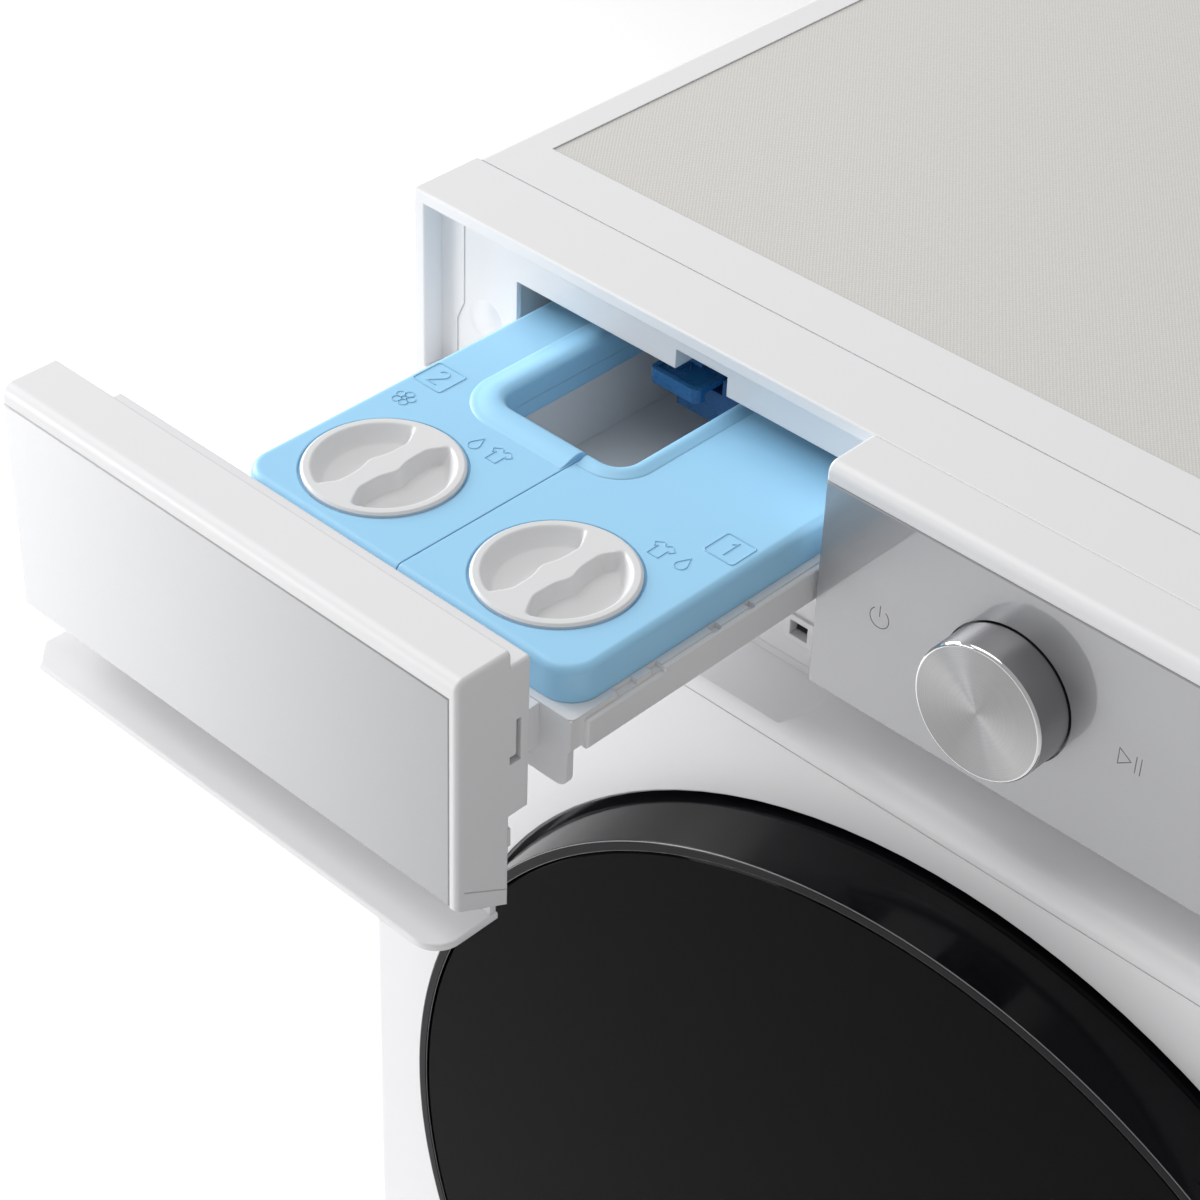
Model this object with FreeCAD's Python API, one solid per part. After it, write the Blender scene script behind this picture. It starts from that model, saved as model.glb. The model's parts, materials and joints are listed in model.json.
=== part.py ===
import FreeCAD, Part
import math
import os

# Front load washing machine with its dispenser drawer pulled out.
# Millimetres, X to the right, Y to the back, Z up, seen from the front.
# Shapes are drawn with the cabinet centred on Y = 0 and moved along Y at export,
# so that the origin is under the middle of the whole machine.

# ---------------------------------------------------------------- cabinet
HALF_W = 300.0
FRONT_Y = -300.0
REAR_Y = 300.0
HEIGHT = 850.0
SHEET = 1.0
BODY_BOTTOM_Z = 16.0
FRONT_TOP_Z = 729.0
FRAME_FACE_Y = -271.0
FRAME_BACK_Y = -238.9
SHELF_Z = 740.0
BAND_LOW_Z = 844.5
TOP_FRAME_Y = -238.5
TOP_FRAME_Z = 828.0
BOARD_FRONT_Y = -213.0
BOARD_EDGE = 285.0
BOARD_BOTTOM_Z = 837.6
BOARD_TOP_Z = 849.6

# ---------------------------------------------------------------- drawer bay in the front frame
REBATE_Y = -262.0
REBATE_WALL = 2.4
REBATE_LOW_Z = 770.5
BAY_LEFT_X = -255.0
BAY_RIGHT_X = -81.5
BAY_LOW_Z = 773.5
BAY_TOP_Z = 825.7
STOP_X = (-190.0, -175.7)
STOP_BACK_Y = -246.0
NOTCH_RIGHT_X = -151.4
NOTCH_TOP_Z = 833.7
LUMP_X = -271.0
LUMP_Z = 801.0
LUMP_R = 26.0
LUMP_HEIGHT = 1.6

# ---------------------------------------------------------------- control slab
SLAB_FRONT_Y = -294.0
SLAB_BACK_Y = -271.1
SLAB_LEFT_X = -80.0
SLAB_WALL = 2.5
SLAB_LOW_FRONT_Z = 757.9
SLAB_LOW_BACK_Z = 746.5
SLAB_EDGE_R = 4.0
GLASS_BACK_Y = -290.9
GLASS_TOP_Z = 842.5
GLASS_GAP = 0.6
GLASS_EDGE = 0.5
KNOB_Z = 800.2
KNOB_R = 25.2
KNOB_FACE_Y = -309.5
KNOB_BACK_Y = -291.4
KNOB_HOLE_R = 25.9
KNOB_SHAFT_R = 3.0
RUN_FIT = 0.05

# ---------------------------------------------------------------- drawer (drawn closed)
DRAWER_PULL = 166.0
DRAWER_RIGHT_X = -82.0
DRAWER_GLASS_X = -85.4
DRAWER_BACK_Y = -271.6
FLANGE_LEFT_X = -276.0
FLANGE_BACK_Y = -262.5
FLANGE_LOW_Z = 784.0
FLANGE_TOP_Z = 844.0
LIP_FRONT_Y = -299.0
TRAY_LEFT_X = -250.0
TRAY_RIGHT_X = -84.0
TRAY_FRONT_Y = -242.0
TRAY_BACK_Y = 27.5
TRAY_LOW_Z = 775.0
TRAY_TOP_Z = 803.5
TRAY_WALL = 2.5
TRAY_BEVEL_Z = 791.5
LEDGE_Z = 803.9
RAIL_X = -82.2
TANK_FRONT_Y = -239.0
TANK_BACK_Y = 21.5
TANK_LEFT_X = -247.0
TANK_RIGHT_X = -87.0
TANK_SEAM_X = -167.5
TANK_TOP_Z = 818.0
TANK_RIM_Z = 804.0
TANK_LOW_Z = 780.2
TANK_WALL = 2.0
TANK_INSET = 4.5
POWDER_X0 = -213.0
POWDER_X1 = -152.0
POWDER_Y0 = -149.0
POWDER_Y1 = -38.5
CAP_R = 28.5
CAP_TOP_Z = 819.2
CAP_SEAT_Z = 817.0
CAP_Y = -204.1
CAP_1_X = -128.1
CAP_2_X = -210.7
CAP_NECK_R = 25.0
LEVER_X = (-191.0, -167.5)
LEVER_FRONT_Y = -93.0
LEVER_PIVOT_Y = -52.5
LEVER_PIVOT_Z = 812.0
LEVER_PIN_R = 1.8
HOUSING_LOW_Z = 768.0
HOUSING_TOP_Z = 836.5

# ---------------------------------------------------------------- door
AXIS_Z = 465.0
RECESS_R = 249.5
RECESS_FLOOR_Y = -280.0
DOOR_BACK_Y = -284.0
DOOR_FACE_Y = -326.5
HINGE_X = -240.0
HINGE_Y = -315.0
HINGE_PIN_R = 2.5
LUG_OFFSET = 30.0

# ---------------------------------------------------------------- tub and drum
TUB_R = 275.0
TUB_WALL = 3.0
TUB_FRONT_Y = -225.0
TUB_JOINT_Y = -40.0
TUB_REAR_Y = 195.0
FILL_X = -120.0
FILL_Y = 40.0
DRUM_R = 249.0
DRUM_REAR_Y = 165.0
SHAFT_R = 15.0

# ---------------------------------------------------------------- connections at the rear
INLET_X = 182.0
INLET_Z = 782.0
INLET_THREAD_R = 13.2
INLET_END_Y = 292.0
POCKET_Y = 263.5
PIPE_START_Y = 265.0
DRAIN_X = 222.0
DRAIN_R = 10.0
DRAIN_END_Y = 293.0
HOUSING_INLETS = (-180.0, -130.0)
SPRING_Y = 100.0
GLAND_X = -250.0
GLAND_Z = 790.0
REARMOST_Y = 302.0
SCREW_SPOTS = [(x, z) for x in (-288.0, 288.0) for z in (80.0, 260.0, 440.0, 620.0, 800.0)]

# ---------------------------------------------------------------- pump behind its small service door
PUMP_X = 220.0
PUMP_Z = 75.0
FILTER_PIVOT_Y = -298.4
FILTER_PIVOT_Z = 41.7
FILTER_PIN_R = 0.8

# ---------------------------------------------------------------- feet
FOOT_X = 255.0
FOOT_FRONT_Y = -245.0
FOOT_BACK_Y = 260.0
FOOT_PAD_R = 22.0
STUD_R = 5.0

nodes = {}


def vec(x, y, z):
    return FreeCAD.Vector(x, y, z)


def box(x0, x1, y0, y1, z0, z1):
    return Part.makeBox(x1 - x0, y1 - y0, z1 - z0, vec(x0, y0, z0))


def cyl_x(y, z, r, x0, x1):
    return Part.makeCylinder(r, x1 - x0, vec(x0, y, z), vec(1, 0, 0))


def cyl_y(x, z, r, y0, y1):
    return Part.makeCylinder(r, y1 - y0, vec(x, y0, z), vec(0, 1, 0))


def cyl_z(x, y, r, z0, z1):
    return Part.makeCylinder(r, z1 - z0, vec(x, y, z0), vec(0, 0, 1))


def tube_y(x, z, r_out, r_in, y0, y1):
    return cyl_y(x, z, r_out, y0, y1).cut(cyl_y(x, z, r_in, y0 - 1, y1 + 1))


def tube_z(x, y, r_out, r_in, z0, z1):
    return cyl_z(x, y, r_out, z0, z1).cut(cyl_z(x, y, r_in, z0 - 1, z1 + 1))


def face_from(points):
    return Part.Face(Part.makePolygon(points + [points[0]]))


def prism_x(section, x0, x1):
    # section is a list of (y, z)
    return face_from([vec(x0, y, z) for y, z in section]).extrude(vec(x1 - x0, 0, 0))


def prism_y(outline, y0, y1):
    # outline is a list of (x, z)
    return face_from([vec(x, y0, z) for x, z in outline]).extrude(vec(0, y1 - y0, 0))


def prism_z(outline, z0, z1):
    # outline is a list of (x, y)
    return face_from([vec(x, y, z0) for x, y in outline]).extrude(vec(0, 0, z1 - z0))


def revolve_y(section, x=0.0, z=AXIS_Z):
    # section is a list of (radius, y)
    points = [vec(x + r, y, z) for r, y in section]
    return face_from(points).revolve(vec(x, 0, z), vec(0, 1, 0), 360)


def revolve_z(section, x, y):
    # section is a list of (radius, z)
    points = [vec(x + r, y, z) for r, z in section]
    return face_from(points).revolve(vec(x, y, 0), vec(0, 0, 1), 360)


def round_edges(shape, radius, wanted):
    edges = [e for e in shape.Edges if wanted(e)]
    return shape.makeFillet(radius, edges)


def near(a, b):
    return abs(a - b) < 0.01


def is_upright(edge):
    box_of = edge.BoundBox
    return len(edge.Vertexes) == 2 and box_of.XLength < 0.01 and box_of.YLength < 0.01


def runs_along_x(edge):
    box_of = edge.BoundBox
    return len(edge.Vertexes) == 2 and box_of.YLength < 0.01 and box_of.ZLength < 0.01


def in_plane_x(edge, x):
    return near(edge.BoundBox.XMin, x) and near(edge.BoundBox.XMax, x)


def in_plane_y(edge, y):
    return near(edge.BoundBox.YMin, y) and near(edge.BoundBox.YMax, y)


def in_plane_z(edge, z):
    return near(edge.BoundBox.ZMin, z) and near(edge.BoundBox.ZMax, z)


def join(shapes):
    return shapes[0].multiFuse(shapes[1:]).removeSplitter()


def join_loose(shapes):
    return shapes[0].multiFuse(shapes[1:])


def hose(path, start_way, end_way, r_out, r_in):
    # round hollow hose along a smooth curve through the points of path
    curve = Part.BSplineCurve()
    curve.interpolate(Points=[vec(*p) for p in path], InitialTangent=vec(*start_way),
                      FinalTangent=vec(*end_way))
    spine = Part.Wire(curve.toShape())
    start = vec(*path[0])
    heading = vec(*start_way)
    outer = Part.Wire(Part.makeCircle(r_out, start, heading))
    inner = Part.Wire(Part.makeCircle(r_in, start, heading))
    solid = spine.makePipeShell([outer], True, False)
    bore = spine.makePipeShell([inner], True, False)
    return solid.cut(bore)


def mirrored(shape):
    return shape.mirror(vec(0, 0, 0), vec(1, 0, 0))


def opened(shape):
    # a drawer piece, drawn closed, moved to where it stands when the drawer is out
    moved = shape.copy()
    moved.translate(vec(0, -DRAWER_PULL, 0))
    return moved


def lump(grow):
    # low round swelling on the left of the drawer bay; the drawer flange has a dent for it
    centre = vec(LUMP_X, REBATE_Y - LUMP_HEIGHT + LUMP_R, LUMP_Z)
    return Part.makeSphere(LUMP_R + grow, centre)


# ================================================================ upper front frame
def opening_frame():
    # white moulding behind the slabs, with the drawer opening and the shelf under it
    x0 = -HALF_W
    x1 = HALF_W
    side = 5.0
    skin = 3.0
    shelf_low = 731.0
    rebate_back_y = REBATE_Y + REBATE_WALL
    wall_right = BAY_RIGHT_X + 2.5
    top_band = box(x0, x1, FRAME_FACE_Y, FRAME_BACK_Y, BAND_LOW_Z, HEIGHT)
    left_wall = box(x0, x0 + side, FRAME_FACE_Y, FRAME_BACK_Y, SHELF_Z, BAND_LOW_Z + 0.5)
    right_wall = box(x1 - side, x1, FRAME_FACE_Y, FRAME_BACK_Y, SHELF_Z, BAND_LOW_Z + 0.5)
    panel_face = box(BAY_RIGHT_X, x1, FRAME_FACE_Y, FRAME_FACE_Y + skin, SHELF_Z - 2, BAND_LOW_Z + 0.5)
    rebate_back = box(x0, wall_right, REBATE_Y, rebate_back_y, REBATE_LOW_Z, BAND_LOW_Z + 0.5)
    rebate_right = box(BAY_RIGHT_X, wall_right, FRAME_FACE_Y, rebate_back_y, REBATE_LOW_Z, BAND_LOW_Z + 0.5)
    lower_face = box(x0, wall_right, FRAME_FACE_Y, FRAME_FACE_Y + skin, SHELF_Z - 4, BAY_LOW_Z)
    rebate_floor = box(x0, wall_right, FRAME_FACE_Y, rebate_back_y, REBATE_LOW_Z, BAY_LOW_Z)
    shelf = prism_x([(-266, SHELF_Z), (FRONT_Y, SHELF_Z), (FRONT_Y, FRONT_TOP_Z + 0.3),
                     (FRONT_Y + 3, FRONT_TOP_Z + 0.3), (-290, shelf_low), (-266, shelf_low)], x0, x1)
    shelf = round_edges(shelf, 8.0, lambda e: runs_along_x(e) and in_plane_y(e, FRONT_Y)
                        and e.BoundBox.ZMin > SHELF_Z - 1)
    frame = join([top_band, left_wall, right_wall, panel_face, rebate_back, rebate_right,
                  lower_face, rebate_floor, shelf])
    frame = round_edges(frame, 1.0, lambda e: in_plane_y(e, FRAME_FACE_Y)
                        and e.BoundBox.XMax < BAY_RIGHT_X + 1
                        and (in_plane_x(e, x0 + side) or in_plane_z(e, BAND_LOW_Z)))
    frame = round_edges(frame, 0.8, lambda e: in_plane_y(e, FRAME_FACE_Y) and in_plane_z(e, HEIGHT))
    frame = frame.fuse(lump(0.0).common(box(-295, -245, REBATE_Y - 5, REBATE_Y + 1, 774, 840)))
    bay = box(BAY_LEFT_X, BAY_RIGHT_X, REBATE_Y - 1, rebate_back_y + 1, BAY_LOW_Z, BAY_TOP_Z)
    notch = box(STOP_X[1], NOTCH_RIGHT_X, REBATE_Y - 1, rebate_back_y + 1, BAY_TOP_Z - 1, NOTCH_TOP_Z)
    lip_pocket = box(x0 - 1, BAY_RIGHT_X + 0.5, FRONT_Y + 0.7, FRAME_FACE_Y - 0.2, 736.6, SHELF_Z + 5)
    lip_pocket = round_edges(lip_pocket, 11.0, lambda e: is_upright(e) and in_plane_y(e, FRONT_Y + 0.7)
                             and e.BoundBox.XMin > -100)
    wire_hole = box(20, 140, FRAME_FACE_Y - 1, FRAME_FACE_Y + skin + 1, 778, 822)
    frame = frame.cut(bay).cut(notch).cut(lip_pocket).cut(wire_hole)
    stop_block = box(STOP_X[0], STOP_X[1], REBATE_Y, STOP_BACK_Y, BAY_TOP_Z, HOUSING_TOP_Z)
    latch_box = box(-109.5, -95.5, FRAME_FACE_Y - 1.2, FRAME_FACE_Y + 1, 748.5, 760)
    latch_slot = box(-106.5, -98.5, FRAME_FACE_Y - 3, FRAME_FACE_Y + skin + 1, 751, 757.5)
    hook_room = box(-93, -83, FRAME_FACE_Y - 1, -267.9, 767.5, BAY_LOW_Z + 1)
    frame = join([frame, stop_block, latch_box]).cut(latch_slot).cut(hook_room)
    seam = prism_y([(-283.0, 846), (-282.4, 846), (-282.4, 803.6), (-286.0, 795.4), (-286.0, 772),
                    (-286.6, 772), (-286.6, 795.6), (-283.0, 803.8)], REBATE_Y - 0.2, REBATE_Y + 0.6)
    return frame.cut(seam.common(box(-290, -280, -270, -250, BAY_LOW_Z, BAND_LOW_Z)))


def slab_body(x0, x1, back_y):
    # flat top, sloping underside, rounded front top edge, and a seat for the glass in front
    full = [(SLAB_FRONT_Y, HEIGHT), (back_y, HEIGHT), (back_y, SLAB_LOW_BACK_Z),
            (SLAB_FRONT_Y, SLAB_LOW_FRONT_Z)]
    slab = prism_x(full, x0, x1)
    slab = round_edges(slab, SLAB_EDGE_R, lambda e: runs_along_x(e) and in_plane_y(e, SLAB_FRONT_Y)
                       and in_plane_z(e, HEIGHT))
    return slab


def round_slab_end(slab, x, back_y, radius):
    # the front edge, the arc above it and the top edge of one end
    return round_edges(slab, radius, lambda e: in_plane_x(e, x) and not in_plane_y(e, back_y)
                       and e.BoundBox.ZMax > HEIGHT - SLAB_EDGE_R - 1)


def glass_seat(x0, x1):
    return box(x0, x1, SLAB_FRONT_Y - 1, GLASS_BACK_Y + 0.3, SLAB_LOW_FRONT_Z - 9, GLASS_TOP_Z + GLASS_GAP)


def slab_cavity(back_y):
    wall_y = GLASS_BACK_Y + 0.3 + SLAB_WALL
    roof_z = HEIGHT - SLAB_WALL - 1.5
    return [(wall_y, SLAB_LOW_FRONT_Z + 3.0), (wall_y, roof_z), (back_y, roof_z),
            (back_y, SLAB_LOW_BACK_Z + 4.5)]


def bevelled_glass(x0, x1):
    # flat pane whose front edges are ground at 45 degrees
    pane = box(x0, x1, SLAB_FRONT_Y + 0.1, GLASS_BACK_Y, SLAB_LOW_FRONT_Z, GLASS_TOP_Z)
    front = [e for e in pane.Edges if in_plane_y(e, SLAB_FRONT_Y + 0.1)]
    return pane.makeChamfer(GLASS_EDGE, front)


def control_panel():
    shell = slab_body(SLAB_LEFT_X, HALF_W, SLAB_BACK_Y)
    shell = round_slab_end(shell, SLAB_LEFT_X, SLAB_BACK_Y, 1.2)
    shell = round_slab_end(shell, HALF_W, SLAB_BACK_Y, 1.2)
    shell = shell.cut(glass_seat(SLAB_LEFT_X - 1, HALF_W + 1))
    cavity = prism_x(slab_cavity(SLAB_BACK_Y + 1), SLAB_LEFT_X + SLAB_WALL, HALF_W - SLAB_WALL)
    shell = shell.cut(cavity)
    shell = shell.cut(cyl_y(0, KNOB_Z, 6.3, SLAB_FRONT_Y, -285))
    display_window = box(108, 217, SLAB_FRONT_Y, -285, 784, 816)
    return shell.cut(display_window).removeSplitter()


def control_glass():
    knob_hole = cyl_y(0, KNOB_Z, KNOB_HOLE_R, SLAB_FRONT_Y - 1, GLASS_BACK_Y + 1)
    return bevelled_glass(SLAB_LEFT_X, HALF_W).cut(knob_hole)


def knob():
    wall = 2.0
    edge = 1.3
    shaft_end = -281.6
    cup_floor = KNOB_FACE_Y + wall + 0.5
    cup = [(0, KNOB_FACE_Y), (KNOB_R - edge, KNOB_FACE_Y), (KNOB_R, KNOB_FACE_Y + edge),
           (KNOB_R, KNOB_BACK_Y), (KNOB_R - wall, KNOB_BACK_Y), (KNOB_R - wall, cup_floor),
           (2 * KNOB_SHAFT_R, cup_floor),
           (2 * KNOB_SHAFT_R, -296), (KNOB_SHAFT_R, -296), (KNOB_SHAFT_R, shaft_end), (0, shaft_end)]
    return revolve_y(cup, 0.0, KNOB_Z)


def control_board():
    # board with its display block, its chips and the encoder that the knob spindle turns in
    board_y = -281.0
    back_y = -279.4
    board = box(-40, 285, board_y, back_y, 768, 836)
    screen = box(110, 215, -290.5, -286, 786, 814).fuse(box(107, 218, -286, board_y, 783, 817))
    encoder = box(-8, 8, -287.9, board_y, KNOB_Z - 8, KNOB_Z + 8)
    encoder = encoder.fuse(cyl_y(0, KNOB_Z, 6.0, -290.2, -287.9))
    chips = [box(40, 58, back_y, -277.2, 790, 808), box(75, 85, back_y, -276.6, 780, 800),
             box(240, 262, back_y, -274, 785, 797), box(150, 175, back_y, -277, 796, 808)]
    coil = cyl_y(225, 815, 7.0, back_y, -273.5)
    whole = join([board, screen, encoder, coil] + chips)
    return whole.cut(cyl_y(0, KNOB_Z, KNOB_SHAFT_R + RUN_FIT, -292, -278))


nodes["opening_frame"] = opening_frame()
nodes["control_panel"] = control_panel()
nodes["control_glass"] = control_glass()
nodes["knob"] = knob()
nodes["control_board"] = control_board()


# ================================================================ dispenser drawer
def drawer_front():
    bezel_x = DRAWER_RIGHT_X - 3.0
    slab = slab_body(-HALF_W, DRAWER_RIGHT_X, DRAWER_BACK_Y)
    slab = round_slab_end(slab, DRAWER_RIGHT_X, DRAWER_BACK_Y, 1.6)
    slab = round_slab_end(slab, -HALF_W, DRAWER_BACK_Y, 1.0)
    slab = slab.cut(glass_seat(-HALF_W - 1, bezel_x))
    groove_y = (SLAB_FRONT_Y + 3.5, DRAWER_BACK_Y - 0.4)
    groove = prism_x([(groove_y[0], 763.6), (groove_y[1], 753.2), (groove_y[1], 753.6), (groove_y[0], 764.0)],
                     DRAWER_RIGHT_X - 0.35, DRAWER_RIGHT_X + 1)
    flange = box(FLANGE_LEFT_X, DRAWER_RIGHT_X, DRAWER_BACK_Y - 1, FLANGE_BACK_Y, FLANGE_LOW_Z, FLANGE_TOP_Z)
    flange = round_edges(flange, 1.2, lambda e: in_plane_y(e, FLANGE_BACK_Y)
                         or (in_plane_x(e, DRAWER_RIGHT_X) and in_plane_z(e, FLANGE_TOP_Z)))
    hook = box(-92, -84, DRAWER_BACK_Y - 1, -268.4, 768.5, 771)
    hook = hook.fuse(box(-92, -84, -270, -268.4, 771, 776))
    body = join([slab, flange, hook]).cut(groove)
    back_wall = 2.6
    cavity = prism_x(slab_cavity(DRAWER_BACK_Y - back_wall), -HALF_W + SLAB_WALL, DRAWER_GLASS_X - 0.1)
    flange_cavity = box(FLANGE_LEFT_X + 2.5, DRAWER_GLASS_X - 0.1, -275, FLANGE_BACK_Y - 2.6,
                        FLANGE_LOW_Z + 2.5, FLANGE_TOP_Z - 3)
    windows = [box(x, x + 55, SLAB_FRONT_Y, -286, 775, 830) for x in (-290, -225, -160)]
    latch_slot = box(-92, DRAWER_RIGHT_X + 1, -268.5, -266.4, 806.5, 822)
    latch_step = box(-92, DRAWER_RIGHT_X + 1, DRAWER_BACK_Y + 0.4, -266.4, 805.0, 808.2)
    catch_room = box(-112, -93, DRAWER_BACK_Y - 1.8, DRAWER_BACK_Y + 1, 746, 762)
    for shape in [cavity, flange_cavity, latch_slot, latch_step, catch_room, lump(0.6)] + windows:
        body = body.cut(shape)
    return body.removeSplitter()


def drawer_glass():
    return bevelled_glass(-HALF_W, DRAWER_GLASS_X)


def drawer_lip():
    # pull shelf below the drawer slab; fingers go between it and the sloping underside
    low = 737.6
    plate = box(-297, -86, LIP_FRONT_Y, DRAWER_BACK_Y, low, SHELF_Z)
    plate = plate.cut(prism_z([(-298, -290), (-297, -290), (-288, -299), (-288, -300), (-298, -300)], low - 1,
                              SHELF_Z + 1))
    plate = round_edges(plate, 10.0, lambda e: is_upright(e) and e.BoundBox.XMin > -90
                        and in_plane_y(e, LIP_FRONT_Y))
    plate = round_edges(plate, 0.7, lambda e: in_plane_z(e, SHELF_Z) and e.BoundBox.YMin < DRAWER_BACK_Y - 5)
    web = box(-296, -87, -274.2, DRAWER_BACK_Y, SHELF_Z - 1, SLAB_LOW_BACK_Z + 0.9)
    slab = slab_body(-HALF_W - 1, DRAWER_RIGHT_X, DRAWER_BACK_Y)
    return plate.fuse(web).cut(slab).removeSplitter()


def tray_section(inset, top):
    # across the tray: upright sides, long bevels and a flat floor
    left = TRAY_LEFT_X + inset
    right = TRAY_RIGHT_X - inset
    low = TRAY_LOW_Z + inset
    turn = TRAY_BEVEL_Z + 0.4 * inset
    run = turn - low
    return [(left, top), (left, turn), (left + run, low), (right - run, low), (right, turn), (right, top)]


def drawer_tray():
    wall = TRAY_WALL
    outer = prism_y(tray_section(0.0, TRAY_TOP_Z), TRAY_FRONT_Y, TRAY_BACK_Y)
    inner = prism_y(tray_section(wall, TRAY_TOP_Z + 1), TRAY_FRONT_Y + wall, TRAY_BACK_Y - wall)
    ledge = box(TRAY_LEFT_X, TRAY_RIGHT_X, TRAY_FRONT_Y, TRAY_BACK_Y, TRAY_TOP_Z - 2.2, LEDGE_Z)
    ledge = round_edges(ledge, 2.4, lambda e: is_upright(e) and in_plane_y(e, TRAY_FRONT_Y))
    room = TANK_INSET - 1.0
    ledge = ledge.cut(box(TANK_LEFT_X + room, TANK_RIGHT_X - room, TANK_FRONT_Y + room, TANK_BACK_Y - room,
                          TRAY_LOW_Z, TRAY_TOP_Z + 1))
    end_plate = box(TRAY_LEFT_X + 1, TRAY_RIGHT_X - 1, TRAY_FRONT_Y, TRAY_FRONT_Y + wall, TRAY_LOW_Z, TRAY_TOP_Z)
    end_plate = round_edges(end_plate, 5.0, lambda e: in_plane_z(e, TRAY_LOW_Z) and e.BoundBox.XLength < 0.1)
    liner = box(POWDER_X0 - 2.0, POWDER_X1 + 2.0, POWDER_Y0 - 2.0, POWDER_Y1 + 2.0, TRAY_LOW_Z + 1, LEDGE_Z)
    powder = box(POWDER_X0 - 0.3, POWDER_X1 + 0.3, POWDER_Y0 - 0.3, POWDER_Y1 + 0.3, TRAY_LOW_Z + wall, LEDGE_Z + 1)
    powder = round_edges(powder, 9.0, lambda e: is_upright(e) and in_plane_y(e, POWDER_Y0 - 0.3))
    outflow = box(-190, -176, POWDER_Y1 - 1, POWDER_Y1 + 3, TRAY_LOW_Z + wall, TRAY_LOW_Z + wall + 10)
    liner = liner.cut(powder).cut(outflow)
    neck = box(TRAY_LEFT_X + 6, -98, FLANGE_BACK_Y, TRAY_FRONT_Y + 1, 786, TRAY_TOP_Z)
    neck = neck.cut(box(TRAY_LEFT_X + 8.5, -100.5, FLANGE_BACK_Y + wall, TRAY_FRONT_Y, 785,
                        TRAY_TOP_Z - wall))
    tray = join([outer.cut(inner), ledge, end_plate, liner, neck])
    rail_right = side_rail(TRAY_RIGHT_X - 1, RAIL_X)
    rail_left = side_rail(TRAY_LEFT_X - 1.8, TRAY_LEFT_X + 1)
    tray = tray.fuse(rail_right).fuse(rail_left)
    slots = [box(x, x + 12, -52, -40, TRAY_LOW_Z - 1, TRAY_LOW_Z + 4) for x in (-206, -188, -170)]
    notch_spans = ((-221, -212), (-205, -200.5), (-176, -172), (-158, -155.5), (-104, -98), (-60, -55))
    notches = [box(TANK_RIGHT_X + 0.6, TRAY_RIGHT_X + 0.6, y0, y1, TRAY_TOP_Z - 1.4, TRAY_TOP_Z + 1)
               for y0, y1 in notch_spans]
    for shape in slots + notches:
        tray = tray.cut(shape)
    return tray.removeSplitter()


def side_rail(x0, x1):
    # guide rib along the tray wall, a little taller behind its step
    low = box(x0, x1, TRAY_FRONT_Y + 6, -200.5, 790.0, TRAY_TOP_Z - 2.2)
    tall = box(x0, x1, -200.5, TRAY_BACK_Y, 790.0, TRAY_TOP_Z - 0.2)
    outer_x = x1 if x1 > TRAY_RIGHT_X else x0
    rail = low.fuse(tall).removeSplitter()
    return round_edges(rail, 0.9, lambda e: in_plane_x(e, outer_x))


def tank_outline(side, inset):
    # seen from above; side 1 is the right tank, side 2 the left one
    gap = 0.25
    front = TANK_FRONT_Y + inset
    back = TANK_BACK_Y - inset
    if side == 1:
        outer = TANK_RIGHT_X - inset
        seam = TANK_SEAM_X + gap + inset
        powder = POWDER_X1 + inset
    else:
        outer = TANK_LEFT_X + inset
        seam = TANK_SEAM_X - gap - inset
        powder = POWDER_X0 - inset
    return [(seam, front), (outer, front), (outer, back), (seam, back), (seam, POWDER_Y1 + inset),
            (powder, POWDER_Y1 + inset), (powder, POWDER_Y0 - inset), (seam, POWDER_Y0 - inset)]


def tank_bevel(side, inset):
    # wedge taken off the low outer edge of a tank, so that it clears the bevel of the tray
    edge_x = TANK_RIGHT_X - TANK_INSET if side == 1 else TANK_LEFT_X + TANK_INSET
    inward = -1 if side == 1 else 1
    rise = 10.5 + inset
    low = TANK_LOW_Z - 1
    wedge = [(edge_x - 20 * inward, low), (edge_x + (rise + 1) * inward, low),
             (edge_x, TANK_LOW_Z + rise), (edge_x - 20 * inward, TANK_LOW_Z + rise + 20)]
    return prism_y(wedge, TANK_FRONT_Y - 5, TANK_BACK_Y + 5)


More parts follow.
